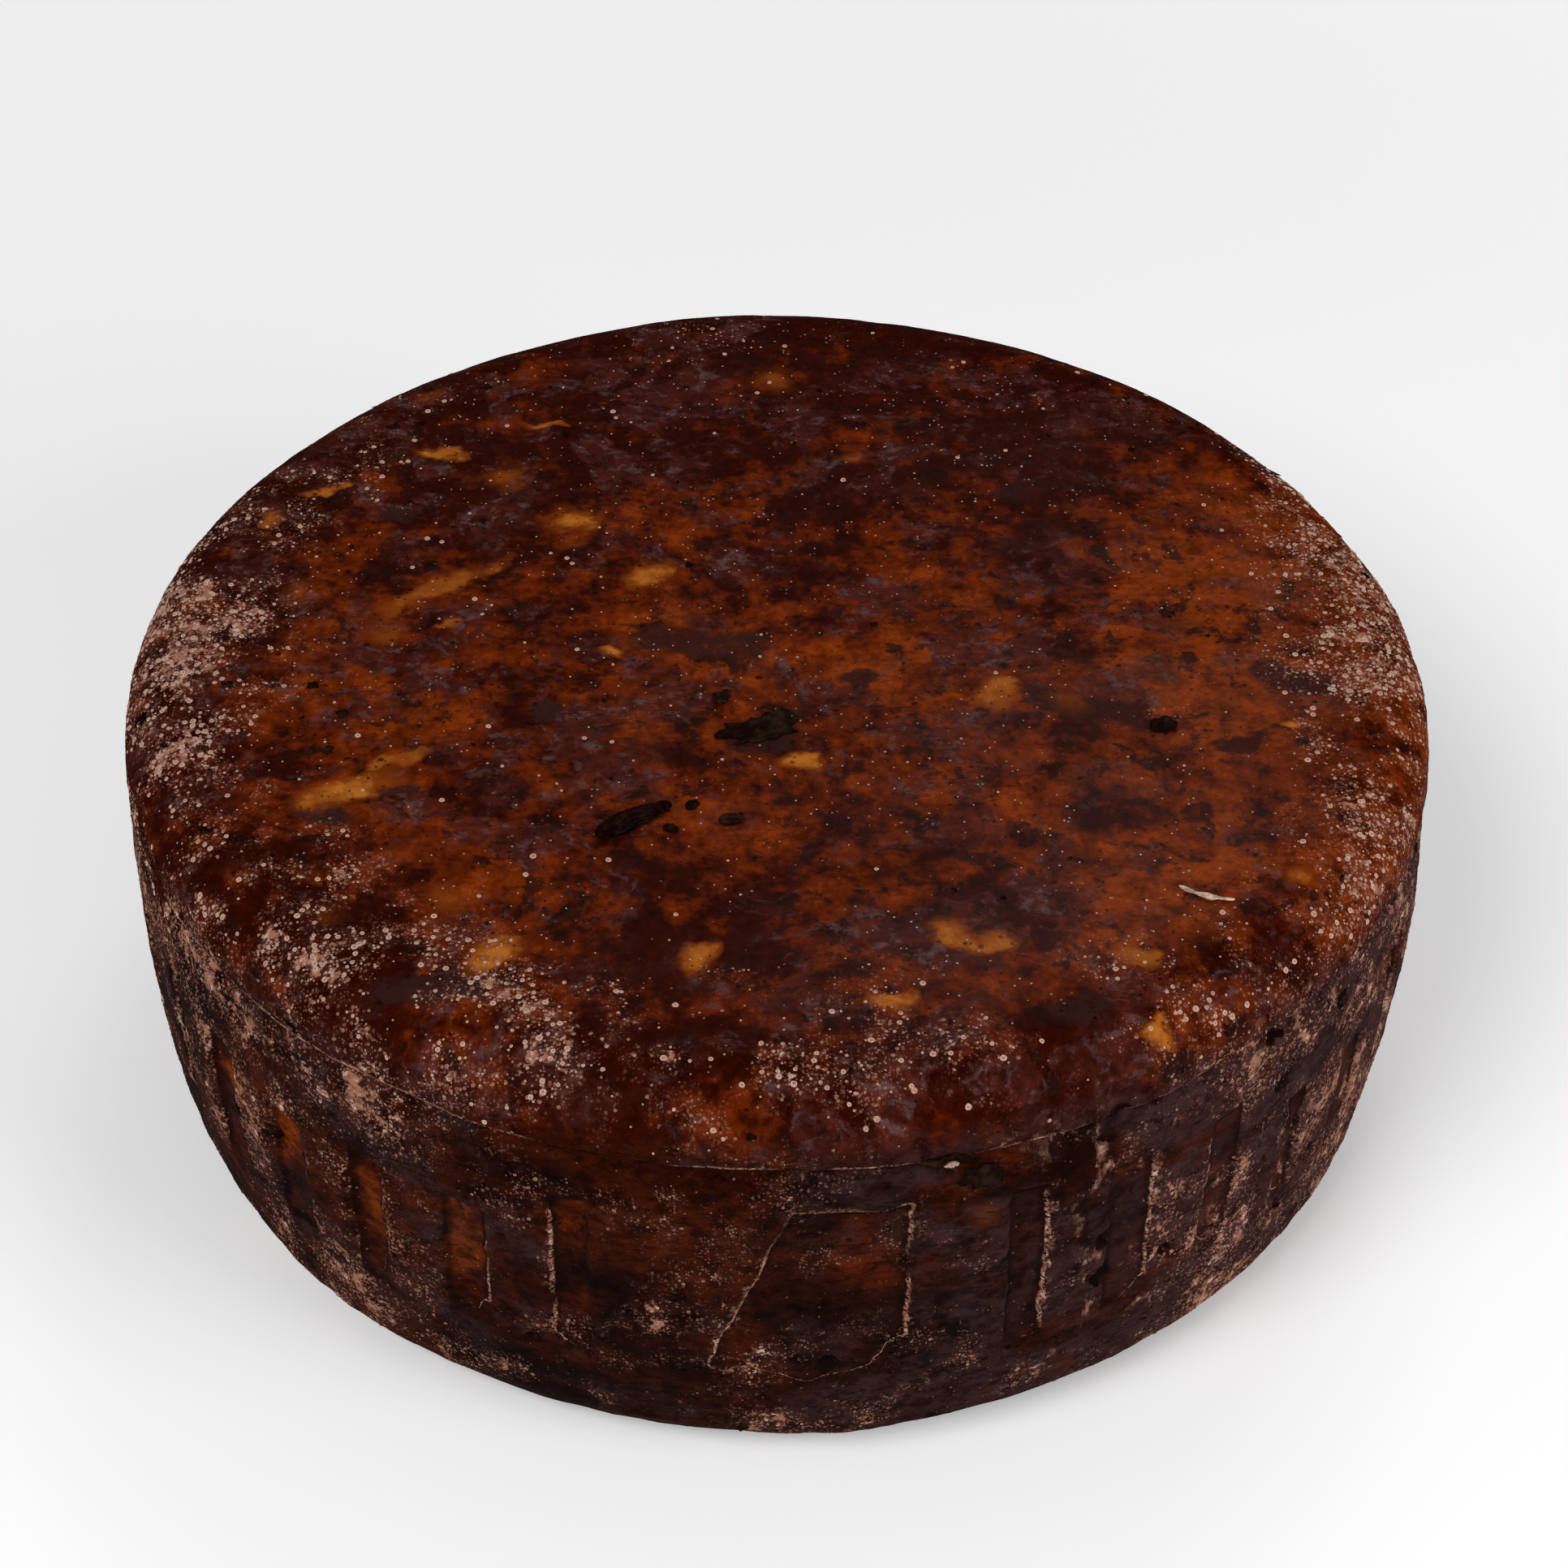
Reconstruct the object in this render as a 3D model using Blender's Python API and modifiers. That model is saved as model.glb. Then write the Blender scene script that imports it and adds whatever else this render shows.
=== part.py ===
"""Cheese wheel: a round wheel with a waxy washed rind, and the few bits of husk and seed stuck to its top.

Metres, +Z up. The origin is the middle of the flat base that the wheel rests on, and -Y is its front.
"""

import math

import bmesh
import bpy
from mathutils import Matrix, Vector

# Driving dimensions of the wheel
WHEEL_RADIUS = 0.150  # at the widest, half way up the side
WHEEL_HEIGHT = 0.110
BARREL_SWELL = 0.0053  # how far the side would draw in at the very top and bottom
SHOULDER_TOP = (0.0155, 0.0120)  # reach and drop of the rounded upper edge
SHOULDER_BASE = (0.0200, 0.0170)  # the same for the lower edge
TURN_STEPS = 80
SHOULDER_STEPS = 6
SIDE_STEPS = 4

# The line that the mould's lid left under the upper edge
SEAM_HEIGHT = 0.0945
SEAM_DEPTH = 0.0008
SEAM_WIDTH = 0.0026

# Flat panels that the mould's staves pressed into the side
PANEL_COUNT = 40
PANEL_WIDTH = 0.0105
PANEL_LOW = 0.029
PANEL_HIGH = 0.083
PANEL_DEPTH = 0.0017
CUTTER_REACH = 0.006  # how far the panel cutters stand out past the side
FRONT_ANGLE = math.radians(-90.0)
FRONT_CLEAR = math.radians(13.0)  # half of the stretch at the front that has no plain panels

# The slanting end of the mould's hoop, at the front
HOOP_WIDTH = 0.024
HOOP_SLANT = 0.019
HOOP_ANGLE = math.radians(-84.0)

# Bits stuck to the top: length, width, height, place and turn about Z
REST_GAP = 0.0003  # between a bit and the rind under it
LONG_HUSK = (0.0190, 0.0054, 0.0026, (-0.0296, -0.0632), 36.0)
SMALL_SEED = (0.0062, 0.0034, 0.0022, (-0.0088, -0.0627), 8.0)
HUSK_CRUMB_A = (0.0036, 0.0024, 0.0013, (-0.0175, -0.0574), 60.0)
HUSK_CRUMB_B = (0.0034, 0.0020, 0.0012, (-0.0219, -0.0652), -20.0)
PALE_SLIVER = (0.0114, 0.0014, 0.0010, (0.0884, -0.0851), -25.0)
GRAIN_SEGMENTS = 16
GRAIN_RINGS = 8
GRAIN_TAPER = 0.35  # how much narrower a grain's pointed end is than its blunt end
SLIVER_BEVEL = 0.0003


def clear_scene():
    """Removes the objects that a new Blender file starts with."""
    for item in list(bpy.data.objects):
        bpy.data.objects.remove(item, do_unlink=True)


def make_collection(name):
    """Adds a collection to the scene."""
    collection = bpy.data.collections.new(name)
    bpy.context.scene.collection.children.link(collection)
    return collection


def make_material(name, colour, roughness):
    """A Principled material; nothing on a cheese is metal."""
    material = bpy.data.materials.new(name)
    material.use_nodes = True
    shader = material.node_tree.nodes["Principled BSDF"]
    shader.inputs["Base Color"].default_value = (*colour, 1.0)
    shader.inputs["Roughness"].default_value = roughness
    shader.inputs["Metallic"].default_value = 0.0
    return material


def make_object(name, bm, collection, material=None):
    """Turns a bmesh into a named object."""
    mesh = bpy.data.meshes.new(name)
    bm.to_mesh(mesh)
    bm.free()
    if material:
        mesh.materials.append(material)
    item = bpy.data.objects.new(name, mesh)
    collection.objects.link(item)
    return item


def barrel_radius(height):
    """Radius of the side at a height: widest half way up."""
    off_middle = (height - WHEEL_HEIGHT / 2) / (WHEEL_HEIGHT / 2)
    return WHEEL_RADIUS - BARREL_SWELL * off_middle**2


def wheel_profile():
    """The wheel's outline from the middle of the top, down the side, to the middle of the base."""
    top_reach, top_drop = SHOULDER_TOP
    base_reach, base_drop = SHOULDER_BASE
    points = [(0.0, WHEEL_HEIGHT)]
    upper = WHEEL_HEIGHT - top_drop
    for step in range(SHOULDER_STEPS + 1):
        angle = math.radians(90.0) * step / SHOULDER_STEPS
        radius = barrel_radius(upper) - top_reach * (1 - math.sin(angle))
        points.append((radius, upper + top_drop * math.cos(angle)))

    seam_foot = SEAM_HEIGHT - SEAM_WIDTH
    points.append((barrel_radius(SEAM_HEIGHT), SEAM_HEIGHT))
    points.append((barrel_radius(SEAM_HEIGHT) - SEAM_DEPTH, SEAM_HEIGHT - SEAM_DEPTH))
    for step in range(SIDE_STEPS + 1):
        height = seam_foot + (base_drop - seam_foot) * step / SIDE_STEPS
        points.append((barrel_radius(height), height))

    for step in range(1, SHOULDER_STEPS + 1):
        angle = math.radians(90.0) * step / SHOULDER_STEPS
        radius = barrel_radius(base_drop) - base_reach * (1 - math.cos(angle))
        points.append((radius, base_drop * (1 - math.sin(angle))))
    points.append((0.0, 0.0))
    return points


def add_wheel(collection, material):
    """Turns the profile about Z."""
    bm = bmesh.new()
    ring = [bm.verts.new((x, 0.0, z)) for x, z in wheel_profile()]
    for first, second in zip(ring, ring[1:]):
        bm.edges.new((first, second))
    wheel = make_object("cheese_wheel", bm, collection, material)
    screw = wheel.modifiers.new("Turn", "SCREW")
    screw.axis = "Z"
    screw.angle = math.radians(360.0)
    screw.steps = TURN_STEPS
    screw.render_steps = TURN_STEPS
    screw.use_merge_vertices = True
    screw.merge_threshold = 0.00005
    screw.use_smooth_shade = True
    return wheel


def panel_frame(angle):
    """Matrix that stands a cutter against the side: its X runs clockwise round the side, its Y points out."""
    outward = Vector((math.cos(angle), math.sin(angle), 0.0))
    along = Vector((math.sin(angle), -math.cos(angle), 0.0))
    middle = outward * (WHEEL_RADIUS - PANEL_DEPTH + CUTTER_REACH / 2)
    middle.z = (PANEL_LOW + PANEL_HIGH) / 2
    turn = Matrix((along, outward, Vector((0.0, 0.0, 1.0)))).transposed().to_4x4()
    return Matrix.Translation(middle) @ turn


def add_panel_box(bm, angle, width, slant):
    """One cutter box, whose lower corners on one side are drawn out by slant."""
    size = Vector((width, CUTTER_REACH, PANEL_HIGH - PANEL_LOW))
    box = bmesh.ops.create_cube(bm, size=1.0, matrix=Matrix.Diagonal(size).to_4x4())
    for vert in box["verts"]:
        if vert.co.z < 0.0 and vert.co.x > 0.0:
            vert.co.x += slant
    bmesh.ops.transform(bm, matrix=panel_frame(angle), verts=box["verts"])


def add_panel_cutter(collection):
    """The ring of stave panels, with the slanting hoop end in place of those at the front."""
    bm = bmesh.new()
    for index in range(PANEL_COUNT):
        angle = 2 * math.pi * (index + 0.25) / PANEL_COUNT
        from_front = math.remainder(angle - FRONT_ANGLE, 2 * math.pi)
        if abs(from_front) > FRONT_CLEAR:
            add_panel_box(bm, angle, PANEL_WIDTH, 0.0)
    add_panel_box(bm, HOOP_ANGLE, HOOP_WIDTH, HOOP_SLANT)
    cutter = make_object("stave_panel_cutter", bm, collection)
    cutter.hide_render = True
    cutter.display_type = "WIRE"
    return cutter


def cut(target, cutter):
    """Takes the cutter's shape out of the target."""
    boolean = target.modifiers.new("Panels", "BOOLEAN")
    boolean.operation = "DIFFERENCE"
    boolean.solver = "EXACT"
    boolean.object = cutter


def add_grain(name, sizes, collection, material):
    """A flattened, tapering seed or scrap of husk that lies on the top."""
    length, width, height, place, turn = sizes
    bm = bmesh.new()
    bmesh.ops.create_uvsphere(bm, u_segments=GRAIN_SEGMENTS, v_segments=GRAIN_RINGS, radius=0.5)
    for vert in bm.verts:
        narrow = 1.0 - GRAIN_TAPER * (vert.co.x + 0.5)
        vert.co = Vector((vert.co.x * length, vert.co.y * width * narrow, vert.co.z * height))
    grain = make_object(name, bm, collection, material)
    grain.data.shade_smooth()
    grain.location = (*place, WHEEL_HEIGHT + REST_GAP + height / 2)
    grain.rotation_euler.z = math.radians(turn)
    return grain


def add_sliver(collection, material):
    """The thin pale splinter lying near the right of the top."""
    length, width, height, place, turn = PALE_SLIVER
    bm = bmesh.new()
    bmesh.ops.create_cube(bm, size=1.0, matrix=Matrix.Diagonal((length, width, height)).to_4x4())
    sliver = make_object("pale_sliver", bm, collection, material)
    bevel = sliver.modifiers.new("Rounding", "BEVEL")
    bevel.width = SLIVER_BEVEL
    bevel.segments = 2
    sliver.location = (*place, WHEEL_HEIGHT + REST_GAP + height / 2)
    sliver.rotation_euler.z = math.radians(turn)
    return sliver


def main():
    """Builds the wheel and the bits on it."""
    clear_scene()
    parts = make_collection("cheese_wheel")
    cutters = make_collection("cutters")

    rind = make_material("waxy rind", (0.115, 0.028, 0.012), 0.38)
    husk = make_material("dark husk", (0.035, 0.020, 0.014), 0.55)
    seed = make_material("grape seed", (0.075, 0.034, 0.020), 0.45)
    straw = make_material("pale straw", (0.62, 0.47, 0.33), 0.70)

    wheel = add_wheel(parts, rind)
    cut(wheel, add_panel_cutter(cutters))
    add_grain("long_husk", LONG_HUSK, parts, husk)
    add_grain("small_seed", SMALL_SEED, parts, seed)
    add_grain("husk_crumb_a", HUSK_CRUMB_A, parts, husk)
    add_grain("husk_crumb_b", HUSK_CRUMB_B, parts, husk)
    add_sliver(parts, straw)


main()
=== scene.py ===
"""Cheese wheel: the finished look of a round wheel with a dark waxy rind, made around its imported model.

Metres, +Z up, with the wheel standing on z = 0 and -Y as its front. Run it as a script inside Blender.
"""

import math

import bmesh
import bpy
import numpy as np
from bpy.props import FloatProperty, FloatVectorProperty, IntProperty, PointerProperty
from bpy.types import Operator, Panel, PropertyGroup
from mathutils import Matrix, Vector, noise


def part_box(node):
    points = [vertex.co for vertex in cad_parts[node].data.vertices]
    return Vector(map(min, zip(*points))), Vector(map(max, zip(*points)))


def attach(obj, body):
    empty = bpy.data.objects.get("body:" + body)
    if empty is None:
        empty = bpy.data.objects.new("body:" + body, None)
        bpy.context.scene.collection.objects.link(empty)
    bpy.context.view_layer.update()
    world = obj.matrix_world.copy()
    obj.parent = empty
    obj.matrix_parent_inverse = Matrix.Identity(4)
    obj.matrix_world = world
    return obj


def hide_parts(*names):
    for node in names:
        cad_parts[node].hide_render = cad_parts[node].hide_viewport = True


bl_info = {
    "name": "Cheese wheel",
    "version": (1, 0, 0),
    "blender": (4, 5, 0),
    "location": "3D View > Sidebar > Cheese",
    "description": "Makes a round cheese wheel with a dark waxy rind and the bits stuck to it",
    "category": "Add Mesh",
}

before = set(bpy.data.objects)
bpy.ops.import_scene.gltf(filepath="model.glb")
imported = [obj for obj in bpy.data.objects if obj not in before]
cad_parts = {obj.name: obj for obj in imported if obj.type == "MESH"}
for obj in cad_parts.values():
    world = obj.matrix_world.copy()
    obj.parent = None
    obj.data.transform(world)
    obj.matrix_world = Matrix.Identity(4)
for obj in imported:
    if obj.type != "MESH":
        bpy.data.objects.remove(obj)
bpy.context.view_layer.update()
WHEEL_LOW, WHEEL_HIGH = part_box("cheese_wheel")
WHEEL_RADIUS = (WHEEL_HIGH[0] - WHEEL_LOW[0]) / 2
WHEEL_HEIGHT = WHEEL_HIGH[2] - WHEEL_LOW[2]
BODY = "root"
BAKE_MAP = "OFBake"
FRONT = math.radians(-90.0)


# ----------------------------------------------------------------------------------------------------
# Node trees written as expressions


class Wire:
    """A socket of a node tree; arithmetic on it adds Math nodes."""

    def __init__(self, net, socket):
        self.net = net
        self.socket = socket

    def __add__(self, other):
        return self.net.math("ADD", self, other)

    __radd__ = __add__

    def __sub__(self, other):
        return self.net.math("SUBTRACT", self, other)

    def __rsub__(self, other):
        return self.net.math("SUBTRACT", other, self)

    def __mul__(self, other):
        return self.net.math("MULTIPLY", self, other)

    __rmul__ = __mul__

    def __truediv__(self, other):
        return self.net.math("DIVIDE", self, other)

    def __pow__(self, other):
        return self.net.math("POWER", self, other)


class Net:
    """Adds nodes to one shader or geometry tree."""

    def __init__(self, tree):
        self.tree = tree

    def add(self, kind, settings=None, inputs=None, out=0):
        """A node of this kind, its settings made first and then its sockets fed; gives one output."""
        node = self.tree.nodes.new(kind)
        for name, value in (settings or {}).items():
            setattr(node, name, value)
        for name, value in (inputs or {}).items():
            self.feed(node.inputs[name], value)
        return Wire(self, node.outputs[out])

    def attribute(self, name):
        """A number stored on the mesh, read in a shader tree."""
        return self.add("ShaderNodeAttribute", {"attribute_name": name}, out="Fac")

    def stored(self, name, kind="FLOAT"):
        """A value stored on the mesh, read in a geometry tree."""
        return self.add("GeometryNodeInputNamedAttribute", {"data_type": kind}, {"Name": name})

    def store(self, geometry, name, value, kind="FLOAT", domain="POINT"):
        """The geometry with a value stored on it."""
        options = {"data_type": kind, "domain": domain}
        inputs = {"Geometry": geometry, "Name": name, "Value": value}
        return self.add("GeometryNodeStoreNamedAttribute", options, inputs)

    def feed(self, socket, value):
        """Links a wire to a socket, or sets the socket's own value."""
        if isinstance(value, Wire):
            self.tree.links.new(value.socket, socket)
        elif socket.type == "RGBA":
            socket.default_value = (*value[:3], 1.0)
        else:
            socket.default_value = value

    def math(self, operation, first, second=0.0):
        return self.add("ShaderNodeMath", {"operation": operation}, {0: first, 1: second})

    def low(self, first, second):
        return self.math("MINIMUM", first, second)

    def high(self, first, second):
        return self.math("MAXIMUM", first, second)

    def size(self, value):
        return self.math("ABSOLUTE", value)

    def ramp(self, value, start, end):
        """0 up to start, 1 from end on, and smooth between; start may be the larger of the two."""
        return self.add(
            "ShaderNodeMapRange",
            {"interpolation_type": "SMOOTHSTEP"},
            {"Value": value, "From Min": start, "From Max": end},
        )

    def over(self, value, limit):
        return self.math("GREATER_THAN", value, limit)

    def either(self, *masks):
        """The strongest of several masks."""
        result = masks[0]
        for mask in masks[1:]:
            result = self.high(result, mask)
        return result

    def mix(self, factor, first, second):
        """Colour that goes from the first to the second."""
        return self.add("ShaderNodeMix", {"data_type": "RGBA"}, {0: factor, 6: first, 7: second}, out=2)

    def vector(self, operation, first, second):
        return self.add("ShaderNodeVectorMath", {"operation": operation}, {0: first, 1: second})

    def scaled(self, vector, factor):
        """A vector times a number that may vary."""
        return self.add("ShaderNodeVectorMath", {"operation": "SCALE"}, {0: vector, "Scale": factor})

    def split(self, vector):
        node = self.tree.nodes.new("ShaderNodeSeparateXYZ")
        self.feed(node.inputs[0], vector)
        return [Wire(self, socket) for socket in node.outputs]

    def join(self, x, y, z):
        return self.add("ShaderNodeCombineXYZ", None, {0: x, 1: y, 2: z})

    def noise(self, place, scale, detail=3.0, rough=0.5, stretch=None, out=0):
        """Noise from 0 to 1; out=1 gives three unlike noises as one vector."""
        if stretch:
            place = self.vector("MULTIPLY", place, stretch)
        inputs = {"Vector": place, "Scale": scale, "Detail": detail, "Roughness": rough}
        return self.add("ShaderNodeTexNoise", None, inputs, out=out)

    def cells(self, place, scale):
        """Distance to the nearest of many scattered points, and three random numbers of that point."""
        node = self.tree.nodes.new("ShaderNodeTexVoronoi")
        self.feed(node.inputs["Vector"], place)
        self.feed(node.inputs["Scale"], scale)
        return Wire(self, node.outputs["Distance"]), self.split(Wire(self, node.outputs["Color"]))

    def chance(self, value):
        """A random number from a whole number."""
        return self.add("ShaderNodeTexWhiteNoise", {"noise_dimensions": "1D"}, {"W": value})

    def shaken(self, place, scale, reach, detail=3.0):
        """The place moved about by noise, which makes outlines ragged."""
        away = self.vector("SUBTRACT", self.noise(place, scale, detail, out=1), (0.5, 0.5, 0.5))
        return self.vector("ADD", place, self.scaled(away, 2 * reach))

    def dots(self, place, scale, share, radius, soft=0.5):
        """Round dots in a random share of a Voronoi pattern's cells; radius is in cell sizes."""
        distance, (chance, _, _) = self.cells(place, scale)
        return self.ramp(distance, radius, radius * soft) * self.over(chance, 1.0 - share)

    def bump(self, height, strength, distance):
        """The surface's direction as if height, times a distance in metres, raised it."""
        inputs = {"Strength": strength, "Distance": distance, "Height": height}
        return self.add("ShaderNodeBump", None, inputs)


class Finish(Net):
    """The net of a new material."""

    def __init__(self, name):
        self.material = bpy.data.materials.new(name)
        self.material.use_nodes = True
        super().__init__(self.material.node_tree)
        self.place = self.add("ShaderNodeTexCoord", out="Object")

    def surface(self, sockets):
        """Feeds the main shader's sockets and gives the material."""
        shader = self.tree.nodes["Principled BSDF"]
        for name, value in sockets.items():
            self.feed(shader.inputs[name], value)
        return self.material


# ----------------------------------------------------------------------------------------------------
# Sizes and colours


def number(name, description, default, **options):
    return FloatProperty(name=name, description=description, default=default, **options)


def metres(name, description, default):
    return number(name, description, default, unit="LENGTH", precision=5)


def watts(name, description, default):
    return number(name, description, default, unit="POWER")


def angle_of(name, description, default):
    return number(name, description, default, subtype="ANGLE")


def colour(name, description, default):
    options = {"subtype": "COLOR", "size": 3, "min": 0.0, "max": 1.0}
    return FloatVectorProperty(name=name, description=description, default=default, **options)


class RindShape(PropertyGroup):
    """Sizes of the wheel's surface."""

    swell: metres("Barrel swell", "How far the side would draw in at the very top and bottom", 0.0053)
    top_reach: metres("Upper edge reach", "How far in the rounded upper edge reaches", 0.0165)
    top_drop: metres("Upper edge drop", "How far down the rounded upper edge reaches", 0.0125)
    base_reach: metres("Lower edge reach", "How far in the rounded lower edge reaches", 0.0200)
    base_drop: metres("Lower edge drop", "How far up the rounded lower edge reaches", 0.0170)
    finest: IntProperty(name="Segments round the side", description="Faces round the side", default=720)
    side_step: metres("Side spacing", "Distance between rings on the side", 0.00142)
    top_step: metres("Top spacing", "Distance between rings on the top", 0.00178)
    base_step: metres("Base spacing", "Distance between rings on the flat base", 0.0090)
    lumps: metres("Lumps", "Height of the broad unevenness", 0.0022)
    dents: metres("Dents", "Height of thumb-sized dents", 0.0007)
    wrinkles: metres("Wrinkles", "Height of the fine wrinkles of the dried rind", 0.00055)
    panel_count: IntProperty(name="Stave panels", description="Panels round the side", default=40)
    panel_low: metres("Panel foot", "Height of the lower end of the stave panels", 0.029)
    panel_high: metres("Panel head", "Height of the upper end of the stave panels", 0.083)
    panel_depth: metres("Panel depth", "How deep the stave panels are pressed in", 0.0020)
    seam_height: metres("Seam height", "Height of the line that the mould's lid left", 0.0945)
    seam_depth: metres("Seam depth", "Depth of the groove under that line", 0.0012)
    pit_depth: metres("Pit depth", "Depth of the deepest pits in the side", 0.0022)
    hoop_clear: metres("Hoop clearance", "Half of the stretch at the front that has no staves", 0.0345)
    hoop_left: metres("Hoop left", "Where the hoop end's left side has its head, right of the front", 0.0037)
    hoop_right: metres("Hoop right", "Where the hoop end's right side is, right of the front", 0.0277)
    hoop_slant: number("Hoop slant", "How far the hoop end's left side leans, per height", 0.352)


class RindFinish(PropertyGroup):
    """Colours and gloss of the rind."""

    oxblood: colour("Oxblood", "The darkest red-brown of the waxy rind", (0.0260, 0.0026, 0.0008))
    rust: colour("Rust", "Red-brown where light enters the rind", (0.0920, 0.0110, 0.0009))
    ember: colour("Ember", "The brightest orange-brown of the waxy rind", (0.1600, 0.0235, 0.0017))
    plum: colour("Plum", "Purple-brown haze left by the grape marc", (0.0480, 0.0088, 0.0058))
    smoke: colour("Smoke", "Blue-grey wisps in the haze", (0.0900, 0.0470, 0.0460))
    marc: colour("Marc", "Dark fuzzy blotches of marc", (0.0150, 0.0034, 0.0020))
    soot: colour("Soot", "Dull grey-brown smears of dried marc", (0.0280, 0.0100, 0.0085))
    halo: colour("Amber halo", "Glow round the amber spots", (0.1800, 0.0340, 0.0030))
    honey: colour("Honey", "Rims of the spots where the pale paste shows through", (0.2350, 0.0550, 0.0055))
    amber: colour("Amber", "Spots where the pale paste shows through", (0.4100, 0.1300, 0.0165))
    # Fleck also paints the shade in the pits and the creases.
    fleck: colour("Fleck", "Nearly black flecks", (0.0060, 0.0024, 0.0018))
    pale: colour("Pale speck", "Salt-pale specks", (0.6000, 0.4200, 0.3300))
    salmon: colour("Salmon bloom", "Dry pinkish crumbs of bloom", (0.3500, 0.1520, 0.1000))
    dust: colour("Dust", "Thin dusty coat of bloom", (0.0980, 0.0370, 0.0260))
    # Umber also paints the shade in the panels' inner corners and on their floors.
    umber: colour("Umber", "Darkest brown of the side", (0.0068, 0.0015, 0.0010))
    mahogany: colour("Mahogany", "Red-brown of the side", (0.0290, 0.0048, 0.0016))
    ash: colour("Ash", "Grey-purple dried coat of the side", (0.0225, 0.0105, 0.0105))
    waxy: number("Waxy roughness", "Roughness of the bare waxy rind", 0.38)
    dry: number("Dry roughness", "Roughness of dried smears and bloom", 0.85)


class ScatterAmounts(PropertyGroup):
    """How many specks, crumbs and flakes lie on the rind, and how big they are."""

    speck_least: metres("Least speck", "Radius of the smallest salt specks", 0.00024)
    crumb_least: metres("Least crumb", "Radius of the smallest bloom crumbs", 0.00018)
    flake_least: metres("Least flake", "Radius of the smallest husk flakes", 0.0006)
    speck_density: number("Speck density", "Most salt specks per square metre", 430000.0)
    speck_radius: metres("Speck radius", "Radius of the largest salt specks", 0.00082)
    crumb_density: number("Bloom density", "Most bloom crumbs per square metre", 720000.0)
    crumb_radius: metres("Crumb radius", "Radius of the largest bloom crumbs", 0.00058)
    flake_density: number("Flake density", "Most husk flakes per square metre", 1100.0)
    flake_radius: metres("Flake radius", "Radius of the largest husk flakes", 0.0021)
    speck_pale: colour("Speck rim", "Pale rim of a salt speck", (0.5700, 0.3750, 0.2950))
    speck_heart: colour("Speck middle", "Brownish middle of a salt speck", (0.3400, 0.1700, 0.1220))
    crumb_pink: colour("Crumb", "Pink-tan of the bloom crumbs", (0.3400, 0.1520, 0.0980))


class BitsFinish(PropertyGroup):
    """Colours of the bits stuck to the rind."""

    flake_dark: colour("Flake", "Dark flakes of grape skin", (0.0070, 0.0026, 0.0017))
    flake_warm: colour("Flake ridges", "Ridges of the flakes", (0.0260, 0.0100, 0.0065))
    husk_dark: colour("Husk", "The long husk", (0.0050, 0.0009, 0.0005))
    husk_warm: colour("Husk ridges", "Ridges of the long husk", (0.0170, 0.0045, 0.0026))
    seed_dark: colour("Seed", "The grape seed", (0.0090, 0.0024, 0.0013))
    seed_warm: colour("Seed ridges", "Ridges of the grape seed", (0.0400, 0.0120, 0.0060))
    crumb_dark: colour("Husk crumb", "The husk crumbs", (0.0085, 0.0026, 0.0016))
    crumb_warm: colour("Husk crumb ridges", "Ridges of the husk crumbs", (0.0300, 0.0110, 0.0070))
    skin_dark: colour("Grape skin", "The scraps of grape skin", (0.0068, 0.0024, 0.0014))
    skin_warm: colour("Grape skin ridges", "Ridges of the scraps of grape skin", (0.0220, 0.0100, 0.0055))
    straw: colour("Straw", "Pale dry straw", (0.6600, 0.5000, 0.4000))
    fibre: colour("Straw fibres", "Brown fibres in the straw", (0.3200, 0.1800, 0.1200))


class StageSetup(PropertyGroup):
    """Floor, light and camera."""

    floor: colour("Floor", "Colour of the pale floor", (0.95, 0.95, 0.95))
    floor_radius: metres("Floor radius", "Radius of the round floor", 6.0)
    lamp_size: metres("Lamp size", "Width of each round lamp", 0.9)
    key_power: watts("Key light", "Power of the key light", 16.0)
    fill_power: watts("Fill light", "Power of the fill light", 10.5)
    back_power: watts("Back light", "Power of the back light", 5.0)
    sky: number("Sky", "Strength of the light from all round", 0.42)
    lens: number("Lens", "Focal length in millimetres", 64.9, unit="CAMERA")
    shift_across: number("Shift across", "Shift of the frame, in frame widths", 0.0060)
    shift_up: number("Shift up", "Shift of the frame upwards, in frame widths", 0.0411)
    aim_height: metres("Aim height", "Height of the point that the camera looks at", 0.045)
    distance: metres("Camera distance", "From the camera to the point it looks at", 0.6847)
    elevation: angle_of("Camera elevation", "Angle above the floor", math.radians(42.0))
    roll: angle_of("Camera roll", "Tilt of the frame", 0.0095)


def settings(name):
    """One of this scene's groups of sizes and colours."""
    return getattr(bpy.context.scene, "cheese_" + name)


# ----------------------------------------------------------------------------------------------------
# Fields that both the relief and the finish of the rind read


def polar(net, place):
    """Angle round the wheel, distance from its axis and height."""
    x, y, z = net.split(place)
    angle = net.math("ARCTAN2", y, x)
    reach = net.math("SQRT", x * x + y * y)
    return angle, reach, z


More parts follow.
